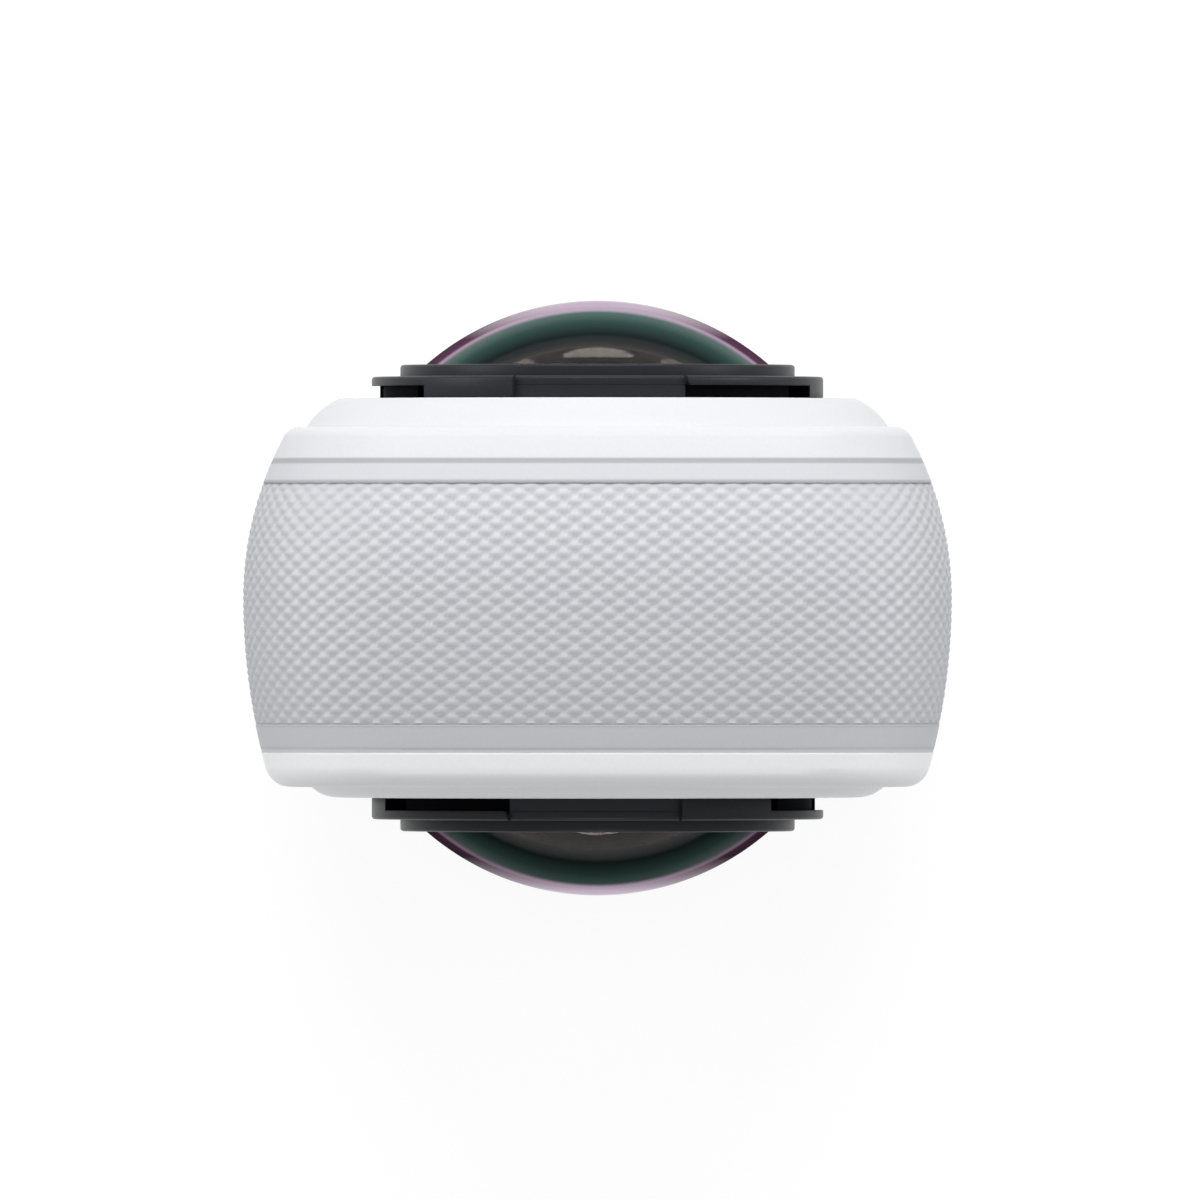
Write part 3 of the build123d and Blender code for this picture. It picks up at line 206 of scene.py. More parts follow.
GRIP_WHITE, GRIP_ROUGHNESS = (0.505, 0.515, 0.54), 0.52
# Painted shade and painted light: the front casing's white is darker and the rear casing's lighter, though
# both casings have one real white.
front_white_painted_shade = finish_material("satin white front casing with painted shade", (0.60, 0.61, 0.632), 0.5, grain=0.000006,
                              gloss=0.25)
rear_white_painted_light = finish_material("satin white rear casing with painted light", (0.90, 0.905, 0.92), 0.36, grain=0.000006,
                             edge=0.00018)
frame_white = finish_material("satin white frame", (0.54, 0.55, 0.575), 0.5, grain=0.000006, gloss=0.25)
grip_white = finish_material("matte white grip", GRIP_WHITE, GRIP_ROUGHNESS, grain=0.00001)
joint_white = finish_material("white of the joint strips", (0.58, 0.59, 0.61), 0.5, gloss=0.25)
joint_shade(front_white_painted_shade, [FRONT_JOINT], 0.26 * MM, 0.40)
joint_shade(frame_white, [FRONT_JOINT, FRONT_BAND_EDGE], 0.26 * MM, 0.34)
joint_shade(frame_white, [REAR_BAND_EDGE, REAR_JOINT], 0.24 * MM, 0.10)
joint_shade(grip_white, [FRONT_BAND_EDGE], 0.28 * MM, 0.24)
joint_shade(grip_white, [REAR_BAND_EDGE], 0.28 * MM, 0.10)
joint_shade(joint_white, [FRONT_JOINT, FRONT_BAND_EDGE], 0.26 * MM, 0.34)
dress(front_white_painted_shade, "front_cover")
dress(rear_white_painted_light, "rear_cover")
dress(frame_white, "mid_frame")

# %% [markdown]
# The band is knurled: two families of fine grooves cross at a flat angle and leave rows
# of small diamonds, each row shifted by half a diamond. On the real camera this is cut
# into the mould. It shows at arm's length and catches the light, so it is real geometry
# here: one grid that follows the body's outline and dips at the grooves.


# %% The body's skin as a function of two parameters
def crest(s):
    """Point and outward direction on the body's outline, s metres from the top's middle.

    The outline runs over a half of the top, round the top corner, down the side and round
    the bottom corner. Negative s is the mirrored side."""
    side, run = np.sign(s), np.abs(s)
    bend = np.clip((run - FLAT) / TOP_CORNER, 0, np.pi / 2)
    drop = np.clip(run - FLAT - ARC, 0, STRAIGHT)
    low = np.clip((run - FLAT - ARC - STRAIGHT) / BOTTOM_CORNER, 0, np.pi / 2)
    past = np.clip(run - FLAT - ARC - STRAIGHT - LOW_ARC, 0, None)
    turn = bend + low
    x = np.minimum(run, FLAT) + TOP_CORNER * np.sin(bend) - BOTTOM_CORNER * (1 - np.cos(low)) - past
    z = HEIGHT - TOP_CORNER * (1 - np.cos(bend)) - drop - BOTTOM_CORNER * np.sin(low)
    return side * x, z, side * np.sin(turn), np.cos(turn)


def swell(y):
    """How far the skin lies under the crest at depth y.

    It is the sag of a circle, with one radius in front and a larger one behind."""
    bulge = np.where(y > 0, FRONT_BULGE, REAR_BULGE)
    return bulge - np.sqrt(bulge**2 - y**2)


def on_skin(s, y, inset):
    """Points on the body at outline place s and depth y, inset metres under the skin."""
    x, z, nx, nz = crest(s)
    depth = swell(y) + inset
    return np.stack([x - nx * depth, np.broadcast_to(y, x.shape), z - nz * depth], axis=-1)


def side_place(z):
    """Outline place of a height on the straight side."""
    return FLAT + ARC + HEIGHT - TOP_CORNER - z


# %% [markdown]
# All new pieces are grids of points from a formula. One function turns such grids into a
# mesh that belongs to the camera's body.

# %% Meshes from grids of points
MERGE_DISTANCE, SLIVER = 1e-7, 1e-8
SHARP_ANGLE = 38


def grid_piece(name, grids, ring=True):
    """Mesh from one or more grids of points. The second axis always closes into a loop.

    In a ring the first axis closes as well and points that meet become one. Otherwise
    each grid ends in two flat caps."""
    points, faces, first = [], [], 0
    for grid in grids:
        rows, columns = grid.shape[:2]
        index = first + np.arange(rows * columns).reshape(rows, columns)
        lower = index if ring else index[:-1]
        upper = np.roll(index, -1, axis=0) if ring else index[1:]
        quads = np.stack([lower, np.roll(lower, -1, axis=1), np.roll(upper, -1, axis=1), upper], axis=-1)
        faces += quads.reshape(-1, 4).tolist()
        if not ring:
            faces += [index[0][::-1].tolist(), index[-1].tolist()]
        points.append(grid.reshape(-1, 3))
        first += rows * columns
    mesh = bpy.data.meshes.new(name)
    mesh.from_pydata(np.concatenate(points), [], faces)
    work = bmesh.new()
    work.from_mesh(mesh)
    if ring:
        bmesh.ops.remove_doubles(work, verts=work.verts, dist=MERGE_DISTANCE)
        bmesh.ops.dissolve_degenerate(work, edges=work.edges, dist=SLIVER)
    bmesh.ops.recalc_face_normals(work, faces=work.faces)
    work.to_mesh(mesh)
    work.free()
    mesh.shade_smooth()
    mesh.set_sharp_from_angle(angle=np.radians(SHARP_ANGLE))
    piece = bpy.data.objects.new(name, mesh)
    bpy.context.collection.objects.link(piece)
    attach(piece, "camera")
    print(name, "faces", len(mesh.polygons))
    return piece


# %% [markdown]
# The band is a run of patches: whole ones, and beside each side button two narrower ones
# that leave a slot between them. The depth of the grooves is a function of the place.
# RIM_WIDTH and RIM_DROP, the rounding of the band's rims, are in millimetres.

# %% Knurled band
GRIP_FRONT, GRIP_REAR = 7.49 * MM, 8.24 * MM
GRIP_THICKNESS = 1.15 * MM
GROOVE_DEPTH, GROOVE_SHARE, GROOVE_POWER = 0.16 * MM, 0.62, 1.3
PITCH_ALONG, PITCH_ACROSS = 1.45 * MM, 0.968 * MM
RIM_WIDTH, RIM_DROP = 0.3, 0.12
STEPS_PER_PITCH = 6
WHOLE_STEPS, REAR_STEPS, FRONT_STEPS, INNER_STEPS = 98, 52, 48, 8
SLOT_LENGTH, SLOT_WIDTH, SLOT_STEPS = 8.3 * MM, 4.7 * MM, 12


def knurl(s, y):
    """Depth of the grooves, from nought on a diamond's flat top to one along a groove.

    s and y are counted in pitches. A groove runs wherever their sum or their difference is
    a whole number, and its depth falls off to both sides as a power."""
    a = s / PITCH_ALONG + y / PITCH_ACROSS
    b = s / PITCH_ALONG - y / PITCH_ACROSS
    near = np.minimum(np.abs(a - np.round(a)), np.abs(b - np.round(b))) * 2
    return np.clip(1 - near / GROOVE_SHARE, 0, 1) ** GROOVE_POWER


def band_patch(s, low, high, across):
    """Closed loops round the band's section, one for each outline place in s.

    A loop crosses the outer skin from depth low(s) to high(s), then goes back along the
    inner skin. The groove depth and the rounded rims are functions of s and y."""
    share = np.linspace(0, 1, across + 1)[None, :]
    s = s[:, None]
    y = low[:, None] + (high - low)[:, None] * share
    margin = np.minimum(y + GRIP_REAR, GRIP_FRONT - y)
    rim = np.clip(margin / (RIM_WIDTH * MM), 0, 1)
    rounding = (1 - np.sqrt(1 - (1 - rim) ** 2)) * RIM_DROP * MM
    outer = on_skin(s + 0 * y, y, knurl(s, y) * GROOVE_DEPTH * rim + rounding)
    back = high[:, None] + (low - high)[:, None] * np.linspace(0, 1, INNER_STEPS + 1)[None, :]
    inner = on_skin(s + 0 * back, back, GRIP_THICKNESS)
    return np.concatenate([outer, inner], axis=1)


def rows_between(start, end):
    """Outline places from start to end, a few for each diamond."""
    steps = max(4, int(round((end - start) / PITCH_ALONG * STEPS_PER_PITCH)))
    return np.linspace(start, end, steps + 1)


def whole_patch(start, end):
    """Patch over the band's whole depth."""
    s = rows_between(start, end)
    return band_patch(s, 0 * s - GRIP_REAR, 0 * s + GRIP_FRONT, WHOLE_STEPS)


def slot_patches(middle):
    """Two patches beside an upright slot. Their inner edges follow its rounded outline."""
    half, radius = SLOT_LENGTH / 2, SLOT_WIDTH / 2
    bend = np.radians(np.linspace(90, 0, SLOT_STEPS + 1))
    straight = rows_between(middle - half + radius, middle + half - radius)[1:-1]
    upper = middle - half + radius - radius * np.sin(bend)
    lower = middle + half - radius + radius * np.sin(bend[::-1])
    s = np.concatenate([upper, straight, lower])
    gap = np.concatenate([radius * np.cos(bend), 0 * straight + radius, radius * np.cos(bend[::-1])])
    return [band_patch(s, 0 * s - GRIP_REAR, -gap, REAR_STEPS),
            band_patch(s, gap, 0 * s + GRIP_FRONT, FRONT_STEPS)]


def knurled_band(name, start, end, replaced, slots=()):
    """Band from outline place start to end, with slots cut through at their middles."""
    patches, at = [], start
    for middle in slots:
        patches += [whole_patch(at, middle - SLOT_LENGTH / 2)] + slot_patches(middle)
        at = middle + SLOT_LENGTH / 2
    patches.append(whole_patch(at, end))
    piece = grid_piece(name, patches, ring=False)
    piece.data.materials.append(grip_white)
    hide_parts(replaced)


# %% [markdown]
# The band goes over the top and down both sides as far as the two doors. Under the doors
# it goes on to the pocket of the base plate. Both side buttons sit in slots of it.

# %% Three pieces of the band
DOOR_GAP = 0.3 * MM
BASE_POCKET = 17.2 * MM
door_low, door_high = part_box("battery_door")
port_low, port_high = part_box("usb_door")
left_end = -side_place(door_high[2] + DOOR_GAP)
right_end = side_place(port_high[2] + DOOR_GAP)
button_slots = []
for button in ("power_button", "quick_button"):
    low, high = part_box(button)
    button_slots.append(side_place((low[2] + high[2]) / 2))
pocket_turn = np.arccos(1 - (WIDTH / 2 - BASE_POCKET) / BOTTOM_CORNER)
pocket_place = side_place(BOTTOM_CORNER) + BOTTOM_CORNER * pocket_turn
below_door, below_port = -side_place(door_low[2] - DOOR_GAP), side_place(port_low[2] - DOOR_GAP)
knurled_band("knurled_band", left_end, right_end, "grip_band", button_slots)
knurled_band("knurled_lower_left", -pocket_place, below_door, "grip_band_lower_left")
knurled_band("knurled_lower_right", below_port, pocket_place, "grip_band_lower_right")

# %% [markdown]
# The battery door and the port door carry the rest of the knurl. They have holes and
# hinges in them, so they keep their shape and get the same diamonds as a bump in their
# material.

# %% Knurl as a bump for the doors
BUMP_SHARE = 0.6


def knurl_bump(name, colour, rough):
    """The same crossing grooves, in Object coordinates of the flat sides, as a bump."""
    material, tree, shader = fresh(name)
    shader.inputs["Base Color"].default_value = (*colour, 1)
    shader.inputs["Roughness"].default_value = rough
    axes = object_axes(tree)
    down = calc(tree, "MULTIPLY", axes["Z"], -1 / PITCH_ALONG)
    along = calc(tree, "ADD", down, side_place(0) / PITCH_ALONG)
    across = calc(tree, "MULTIPLY", axes["Y"], 1 / PITCH_ACROSS)
    waves = [calc(tree, kind, along, across) for kind in ("ADD", "SUBTRACT")]
    folds = [calc(tree, "PINGPONG", wave, 0.5) for wave in waves]
    shape = add(tree, "MapRange", {"Value": calc(tree, "MINIMUM", *folds), "From Max": GROOVE_SHARE / 2},
                interpolation_type="SMOOTHSTEP")
    bump = add(tree, "Bump", {"Height": shape.outputs["Result"], "Strength": 1.0,
                              "Distance": GROOVE_DEPTH * BUMP_SHARE})
    tree.links.new(bump.outputs["Normal"], shader.inputs["Normal"])
    return material


dress(knurl_bump("matte white grip with bumps", GRIP_WHITE, GRIP_ROUGHNESS), "battery_door", "usb_door")

# %% [markdown]
# The bayonet rings are glass-filled nylon: charcoal black with a faint blue cast and a
# soft satin that turns grey where it faces the light. The black parts inside are duller.

# %% Black rings and plastics
ring_black = finish_material("satin charcoal ring", (0.019, 0.020, 0.024), 0.36, grain=0.000008, tone=0.12,
                             gloss=0.12)
# The slots' darker black is the unpolished mould plus painted shade under the lugs.
slot_black_painted_shade = finish_material("raw black of the slots with painted shade", (0.003, 0.003, 0.004), 0.7, tone=0.2, gloss=0.02)
plastic_black = finish_material("matte black plastic", (0.012, 0.012, 0.013), 0.55, grain=0.00001, tone=0.15)
barrel_black = finish_material("baffle black", (0.004, 0.004, 0.005), 0.62, tone=0.2, gloss=0.15)
rubber = finish_material("seal rubber", (0.035, 0.036, 0.04), 0.70, grain=0.00002, tone=0.15)
base_grey = finish_material("base plate", (0.055, 0.057, 0.06), 0.48, grain=0.00002, tone=0.12)
gold = finish_material("gold plated contacts", (0.80, 0.56, 0.22), 0.25, metal=1.0, grain=0.000004)
dress(barrel_black, "front_lens_barrel", "rear_lens_barrel")
dress(plastic_black, "speaker", "card_socket", "microphones")
dress(gold, "battery_contacts")
dress(base_grey, "base_plate")
dress(rubber, "front_cover_gasket", "rear_cover_gasket", "front_lens_seal", "rear_lens_seal",
      "battery_seal", "usb_door_seal")

# %% [markdown]
# A coated lens looks different at each slant: nearly clear square on, dark further out,
# then green, and a lilac mirror at the rim. Near the lens axis that lilac is a lighter
# mirror, a painted highlight of the lamp's reflection, and away from the axis it turns to
# a dull plum. The glasses take their looks from colour ramps over the slant.


# %% Glass whose look depends on the slant
def coated_glass(name, tint, ior, gloss=0.5):
    """Clear smooth glass in one tint, until a ramp is linked to its inputs."""
    material, tree, shader = fresh(name)
    shader.inputs["Base Color"].default_value = (*tint, 1)
    shader.inputs["Roughness"].default_value = 0.01
    shader.inputs["IOR"].default_value = ior
    shader.inputs["Specular IOR Level"].default_value = gloss
    shader.inputs["Transmission Weight"].default_value = 1.0
    return material, tree, shader


def angle_ramp(tree, stops):
    """Colours against the slant of the surface: each stop is degrees off square-on, colour."""
    slant = add(tree, "LayerWeight", {"Blend": 0.5})
    ramp = add(tree, "ValToRGB", {"Fac": slant.outputs["Facing"]})
    elements = ramp.color_ramp.elements
    while len(elements) < len(stops):
        elements.new(1.0)
    for element, (degrees, colour) in zip(elements, stops):
        element.position = 1 - np.cos(np.radians(degrees))
        element.color = (*colour, 1)
    return ramp.outputs["Color"]


DARK_ZONE = [(54, (0.80, 0.70, 0.64)), (56, (0.05, 0.05, 0.05)), (57.5, (0.014, 0.017, 0.017)),
             (60.5, (0.008, 0.012, 0.012)), (67, (0.026, 0.054, 0.049))]
# The lighter lilac mirror near the axis is a painted highlight of the lamp's reflection.
LILAC_MIDDLE_PAINTED_HIGHLIGHT = [(72.5, (0.06, 0.11, 0.10)), (75, (0.50, 0.42, 0.50)), (79, (0.66, 0.60, 0.66)),
                (83, (0.56, 0.48, 0.56)), (87, (0.20, 0.18, 0.20))]
PLUM_MARGIN = [(73, (0.09, 0.13, 0.12)), (75.5, (0.34, 0.23, 0.32)), (77.5, (0.075, 0.034, 0.060)),
               (90, (0.055, 0.026, 0.045))]
dome_glass, tree, shader = coated_glass("coated dome glass", (0.8, 0.9, 0.88), 1.52, gloss=0.0)
outward = add(tree, "MapRange", {"Value": off_axis(tree, 0, LENS_HEIGHT), "From Min": 3.0 * MM,
                                 "From Max": 9.0 * MM}).outputs["Result"]
tints = blend(tree, outward, angle_ramp(tree, DARK_ZONE + LILAC_MIDDLE_PAINTED_HIGHLIGHT),
              angle_ramp(tree, DARK_ZONE + PLUM_MARGIN))
tree.links.new(tints, shader.inputs["Base Color"])
tree.links.new(angle_ramp(tree, [(55, WHITE), (61, BLACK)]), shader.inputs["Transmission Weight"])
mirror = blend(tree, outward, angle_ramp(tree, [(73, BLACK), (75.5, WHITE)]), (*BLACK, 1))
tree.links.new(mirror, shader.inputs["Metallic"])
tree.links.new(angle_ramp(tree, [(60.5, BLACK), (61.5, (0.7, 0.6, 0.7))]), shader.inputs["Specular Tint"])

bowl_glass, tree, shader = coated_glass("clear glass of the bowl", (0.9, 0.93, 0.92), 1.52)
shader.inputs["Specular Tint"].default_value = (0.3, 0.3, 0.3, 1)
steep = angle_ramp(tree, [(33, (0.9, 0.93, 0.92)), (38.5, (0.004, 0.004, 0.005)),
                          (90, (0.003, 0.003, 0.003))])
tree.links.new(steep, shader.inputs["Base Color"])
tree.links.new(angle_ramp(tree, [(38.5, WHITE), (39.5, BLACK)]), shader.inputs["Transmission Weight"])

inner_glass, tree, shader = coated_glass("coated inner glass", (0.065, 0.032, 0.025), 1.6)
shader.inputs["Transmission Weight"].default_value = 0.0
shader.inputs["Metallic"].default_value = 1.0
shader.inputs["Specular Tint"].default_value = (*BLACK, 1)
dress(inner_glass, "front_inner_lens", "rear_inner_lens", "front_relay_lens", "rear_relay_lens")
lens_paint = finish_material("lens edge black", (0.004, 0.004, 0.004), 0.6, tone=0.2, gloss=0.1)

# %% [markdown]
# The first element of a fisheye lens is a thick meniscus: a flat dome outside, a deep
# bowl inside, ground to a cone at its foot and blackened there. Seen from the side, the
# glass bends the view down into that black foot, so the dome reads dark under a pale rim.
# It is a turned piece: one profile swept round the lens axis, in millimetres.


# %% Turning about the lens axis
def about_lens(radius, depth, angle, front):
    """Points at a radius and depth, turned by an angle from straight up about the lens axis.

    The rear side is the front one turned half round Z."""
    side = 1 if front else -1
    return np.stack([side * radius * np.sin(angle), side * depth + 0 * angle,
                     LENS_HEIGHT + radius * np.cos(angle)], axis=-1)


def arc(centre, ball, start, end, steps):
    """Profile points on a circle about (0, centre), from angle start to end off the axis."""
    turn = np.linspace(start, end, steps)
    return [(ball * np.sin(t), centre + ball * np.cos(t)) for t in turn]


def face_places(piece):
    """Distance of each face from the lens axis, and its depth, in millimetres."""
    middle = np.zeros(len(piece.data.polygons) * 3)
    piece.data.polygons.foreach_get("center", middle)
    middle = middle.reshape(-1, 3) / MM
    return np.hypot(middle[:, 0], middle[:, 2] - LENS_HEIGHT / MM), np.abs(middle[:, 1])


# %% [markdown]
# The profile runs over the dome, down the flange, along the foot and back up the bowl to
# the axis. Faces of the foot are painted black, and the bowl has its own glass.

# %% Glass meniscus with a blackened foot
TURNED_STEPS, DOME_STEPS, BOWL_STEPS = 160, 40, 36
DOME_BALL, DOME_CENTRE, DOME_FLANGE = 17.02, 2.38, 12.0
BOWL_BALL, BOWL_APEX, FOOT_LEVEL = 8.55, 17.3, 10.6
FLANGE_LEVEL, BOWL_REACH, PAINT_START = 14.3, 0.02, 0.05
bowl_centre = BOWL_APEX - BOWL_BALL
foot_turn = np.arccos((FOOT_LEVEL - bowl_centre) / BOWL_BALL)
outer = arc(DOME_CENTRE, DOME_BALL, 0, np.arcsin(DOME_FLANGE / DOME_BALL), DOME_STEPS)
foot = [(DOME_FLANGE, 14.2), (DOME_FLANGE, 13.7), (DOME_FLANGE, 13.4), (10.75, 13.4), (9.7, 12.0),
        (8.75, FOOT_LEVEL)]
bowl = arc(bowl_centre, BOWL_BALL, foot_turn, 0, BOWL_STEPS)
profile = np.asarray(outer + foot + bowl) * MM
around = np.linspace(0, 2 * np.pi, TURNED_STEPS, endpoint=False)[None, :]
for front in (True, False):
    end = "front" if front else "rear"
    dome = grid_piece(end + "_dome", [about_lens(profile[:, :1], profile[:, 1:], around, front)])
    for material in (dome_glass, lens_paint, bowl_glass):
        dome.data.materials.append(material)
    reach, depth = face_places(dome)
    from_bowl = np.hypot(reach, depth - bowl_centre) - BOWL_BALL
    painted = (depth < FLANGE_LEVEL) & (from_bowl > PAINT_START)
    finish = np.where(from_bowl < BOWL_REACH, 2, painted).astype(np.int32)
    dome.data.polygons.foreach_set("material_index", finish)
    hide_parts(end + "_dome_lens")
    print(dome.name, "painted faces", int(painted.sum()))

# %% [markdown]
# The bayonet ring takes a lens guard: three thin lugs stand off its core with a slot under
# each, and each slot ends in a solid stop. Its edges are softly broken, which draws the
# fine grey lines along them. The profile is swept round the lens axis while the lug's
# reach and underside change with the angle.
#
# The first values are angles in degrees: where the lug, the pocket of its slot, the stop
# and the plain core begin in each third of a turn. LEAD_IN and LEAD_RISE, in degrees and
# millimetres, round off the start of the lug's underside, and END_FACE is the turn that an
# upright face takes. Two lines of radii and two of depths follow, in millimetres. Faces
# between the first two values of the next line from the axis, and below its third, lie
# inside the slots and get a darker, duller black: the unpolished mould plus painted shade.

# %% Bayonet rings with undercut lugs
LUG_ANGLE, POCKET_ANGLE, STOP_ANGLE, CORE_ANGLE = 23.5, 63, 70.0, 98.0
LEAD_IN, LEAD_RISE, END_FACE = 1.6, 0.38, 0.02
CORE, LUG, LIP_CORE, POCKET_CORE = 14.28, 14.72, 13.95, 13.3
BORE, COLLAR, SLEEVE, SEAT = 11.48, 12.86, 12.88, 12.07
COLLAR_TOP, BORE_TOP, SEAT_TOP, LUG_TOP = 15.2, 14.98, 14.45, 14.42
LUG_UNDER, PLATEAU, SLEEVE_END = 13.82, 13.05, 9.85
SHADED_RAW_FROM, SHADED_RAW_TO, SHADED_RAW_BELOW = 13.2, 14.25, 13.8
BROKEN_EDGE, FINE_EDGE = 0.20, 0.05
QUARTER = np.pi / 2


def edge_round(radius, depth, across, down, start, end, steps):
    """Quarter round at a corner: across and down are its size, with the sign of its side."""
    turns = np.linspace(start, end, steps)
    return [(radius - across * (1 - np.cos(t)), depth - down * (1 - np.sin(t))) for t in turns]


def ring_piece(name, replaced, front):
    """Ring whose closed profile depends on the angle: core, undercut lug or solid stop."""
    ends = [LUG_ANGLE - END_FACE, LUG_ANGLE, STOP_ANGLE - END_FACE, STOP_ANGLE,
            CORE_ANGLE, CORE_ANGLE + END_FACE]
    lead = LUG_ANGLE + np.array([0.15, 0.4, 0.7, 1.1, LEAD_IN])
    sector = np.sort(np.concatenate([np.arange(0, 120, 1.0), ends, lead]))
    within = np.concatenate([sector] * 3)
    degrees = np.concatenate([sector, sector + 120, sector + 240])
    lug = (within >= LUG_ANGLE) & (within <= CORE_ANGLE)
    stop = lug & (within >= STOP_ANGLE)
    lip = lug & ~stop
    reach = np.where(lug, LUG, CORE)
    near = np.clip((within - LUG_ANGLE) / LEAD_IN, 0, 1)
    rise = LEAD_RISE * (1 - np.sqrt(1 - (1 - near) ** 2))
    under = np.where(stop, PLATEAU, np.where(lug, LUG_UNDER + rise, LUG_UNDER))
    core = np.where(lip & (within > POCKET_ANGLE), POCKET_CORE, np.where(lip, LIP_CORE, CORE))
    lines = edge_round(BORE, COLLAR_TOP, -BROKEN_EDGE, BROKEN_EDGE, 0, QUARTER, 4)
    lines += edge_round(COLLAR, COLLAR_TOP, BROKEN_EDGE, BROKEN_EDGE, QUARTER, 0, 4)
    lines += [(COLLAR, LUG_TOP + FINE_EDGE), (COLLAR + FINE_EDGE, LUG_TOP)]
    lines += edge_round(reach, LUG_TOP, BROKEN_EDGE, BROKEN_EDGE, QUARTER, 0, 4)
    lines += edge_round(reach, under, FINE_EDGE, -FINE_EDGE, 0, QUARTER, 3)
    lines += [(core, under), (core, PLATEAU), (SLEEVE, PLATEAU), (SLEEVE, SLEEVE_END),
              (SEAT, SLEEVE_END), (SEAT, SEAT_TOP), (BORE, BORE_TOP)]
    radius = np.stack([line[0] + 0 * degrees for line in lines], axis=1) * MM
    depth = np.stack([line[1] + 0 * degrees for line in lines], axis=1) * MM
    piece = grid_piece(name, [about_lens(radius, depth, np.radians(degrees)[:, None], front)])
    piece.data.materials.append(ring_black)
    piece.data.materials.append(slot_black_painted_shade)
    away, level = face_places(piece)
    # Faces inside the slots take the darker black: unpolished mould plus painted shade.
    in_slot = (away > SHADED_RAW_FROM) & (away < SHADED_RAW_TO) & (level < SHADED_RAW_BELOW)
    piece.data.polygons.foreach_set("material_index", in_slot.astype(np.int32))
    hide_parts(replaced)


ring_piece("front_ring", "front_bayonet_ring", True)
ring_piece("rear_ring", "rear_bayonet_ring", False)

# %% [markdown]
# The casings meet the frame in shallow soft grooves, not in open slits. A narrow concave
# strip closes each joint just under the skin.

# %% Strips in the joints between frame and casings
STRIP_STEPS, STRIP_COLUMNS, STRIP_THICKNESS = 600, 7, 0.45 * MM


def joint_strip(name, low, high, sunk, sag):
    """Closed strip round the whole outline, between two levels of Y, in millimetres.

    Its outside lies sunk under the skin, and sags by half a wave of a sine from there."""
    half = FLAT + ARC + HEIGHT - TOP_CORNER - BOTTOM_CORNER + LOW_ARC + WIDTH / 2 - BOTTOM_CORNER
    s = np.linspace(-half, half, STRIP_STEPS + 1)[:-1, None]
    share = np.linspace(0, 1, STRIP_COLUMNS)[None, :]
    y = (low + (high - low) * share) * MM
    depth = (sunk + sag * np.sin(np.pi * share)) * MM
    outer = on_skin(s + 0 * y, y + 0 * s, depth + 0 * s)
    inner = on_skin(s + 0 * y, y[:, ::-1] + 0 * s, STRIP_THICKNESS)
    strip = grid_piece(name, [np.concatenate([outer, inner], axis=1)])
    strip.data.materials.append(joint_white)


joint_strip("front_joint", 8.853, 8.947, 0.008, 0.003)
joint_strip("rear_joint", -10.005, -9.755, 0.010, 0.008)
joint_strip("front_band_line", 7.43, 7.53, 0.025, 0.010)
joint_strip("rear_band_line", -8.28, -8.18, 0.025, 0.010)

# %% [markdown]
# The rest is seen only from the other sides or with a door open. The screen is off: its
# black glass shows the panel as a slightly lighter field inside a darker frame.

# %% Screen
SCREEN_MARGIN_X, SCREEN_MARGIN_Z = 1.6 * MM, 2.2 * MM
screen_glass = finish_material("black screen glass", (0.004, 0.004, 0.005), 0.05, tone=0.05, spread=0.02,
                               gloss=0.10)
tree, colour = colour_so_far(screen_glass)[:2]
axes = object_axes(tree)
low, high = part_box("touch_glass")
half_width = (high[0] - low[0]) / 2 - SCREEN_MARGIN_X
half_height = (high[2] - low[2]) / 2 - SCREEN_MARGIN_Z
in_width = calc(tree, "LESS_THAN", away_from(tree, axes["X"], 0.0), half_width)
in_height = calc(tree, "LESS_THAN", away_from(tree, axes["Z"], (high[2] + low[2]) / 2), half_height)
field = calc(tree, "MULTIPLY", in_width, in_height)
tree.links.new(blend(tree, field, (0.0015, 0.0015, 0.0018, 1), (0.0045, 0.005, 0.0065, 1)), colour)
dress(screen_glass, "touch_glass", "display_panel")

# %% [markdown]
# The battery's wrap is a dark film whose two seams show as fine paler lines near its ends.

# %% Battery wrap
SEAM_INSET, SEAM_HALF = 4.0 * MM, 0.25 * MM
wrap = finish_material("battery wrap", (0.022, 0.023, 0.026), 0.40, grain=0.00001, tone=0.12)
tree, colour, before = colour_so_far(wrap)
height = object_axes(tree)["Z"]
low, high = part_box("battery_pack")
for level in (low[2] + SEAM_INSET, high[2] - SEAM_INSET):
    seam = calc(tree, "COMPARE", height, level, SEAM_HALF)
    before = blend(tree, seam, before, (0.16, 0.165, 0.17, 1))
tree.links.new(before, colour)
dress(wrap, "battery_pack")

# %% [markdown]
# The side buttons and the battery latches are pale grey, the two rear buttons charcoal. A
# red dot marks the shutter button.

# %% Buttons and latches
DOT_RADIUS, DOT_FADE = 1.45 * MM, 0.05 * MM
charcoal = dict(colour=(0.030, 0.031, 0.035), rough=0.42, grain=0.000008, tone=0.1)
button_grey = finish_material("satin pale grey button", (0.60, 0.615, 0.63), 0.38, grain=0.000006)
button_dark = finish_material("charcoal button", **charcoal)
shutter = finish_material("charcoal button with a red dot", **charcoal)
tree, colour, before = colour_so_far(shutter)
low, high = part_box("shutter_button")
off_centre = off_axis(tree, (low[0] + high[0]) / 2, (low[2] + high[2]) / 2)
dot = add(tree, "MapRange", {"Value": off_centre, "From Min": DOT_RADIUS, "From Max": DOT_RADIUS + DOT_FADE,
                             "To Min": 1.0, "To Max": 0.0})
tree.links.new(blend(tree, dot.outputs["Result"], before, (0.55, 0.02, 0.02, 1)), colour)
dress(button_grey, "power_button", "quick_button", "battery_latch_lower", "battery_latch_upper")
dress(button_dark, "lens_switch_button")
dress(shutter, "shutter_button")

# %% [markdown]
# Screws, pins and sockets are bright steel, the bracket and the heat spreader blasted
# alloy, the boards green. The light pipes are milky.

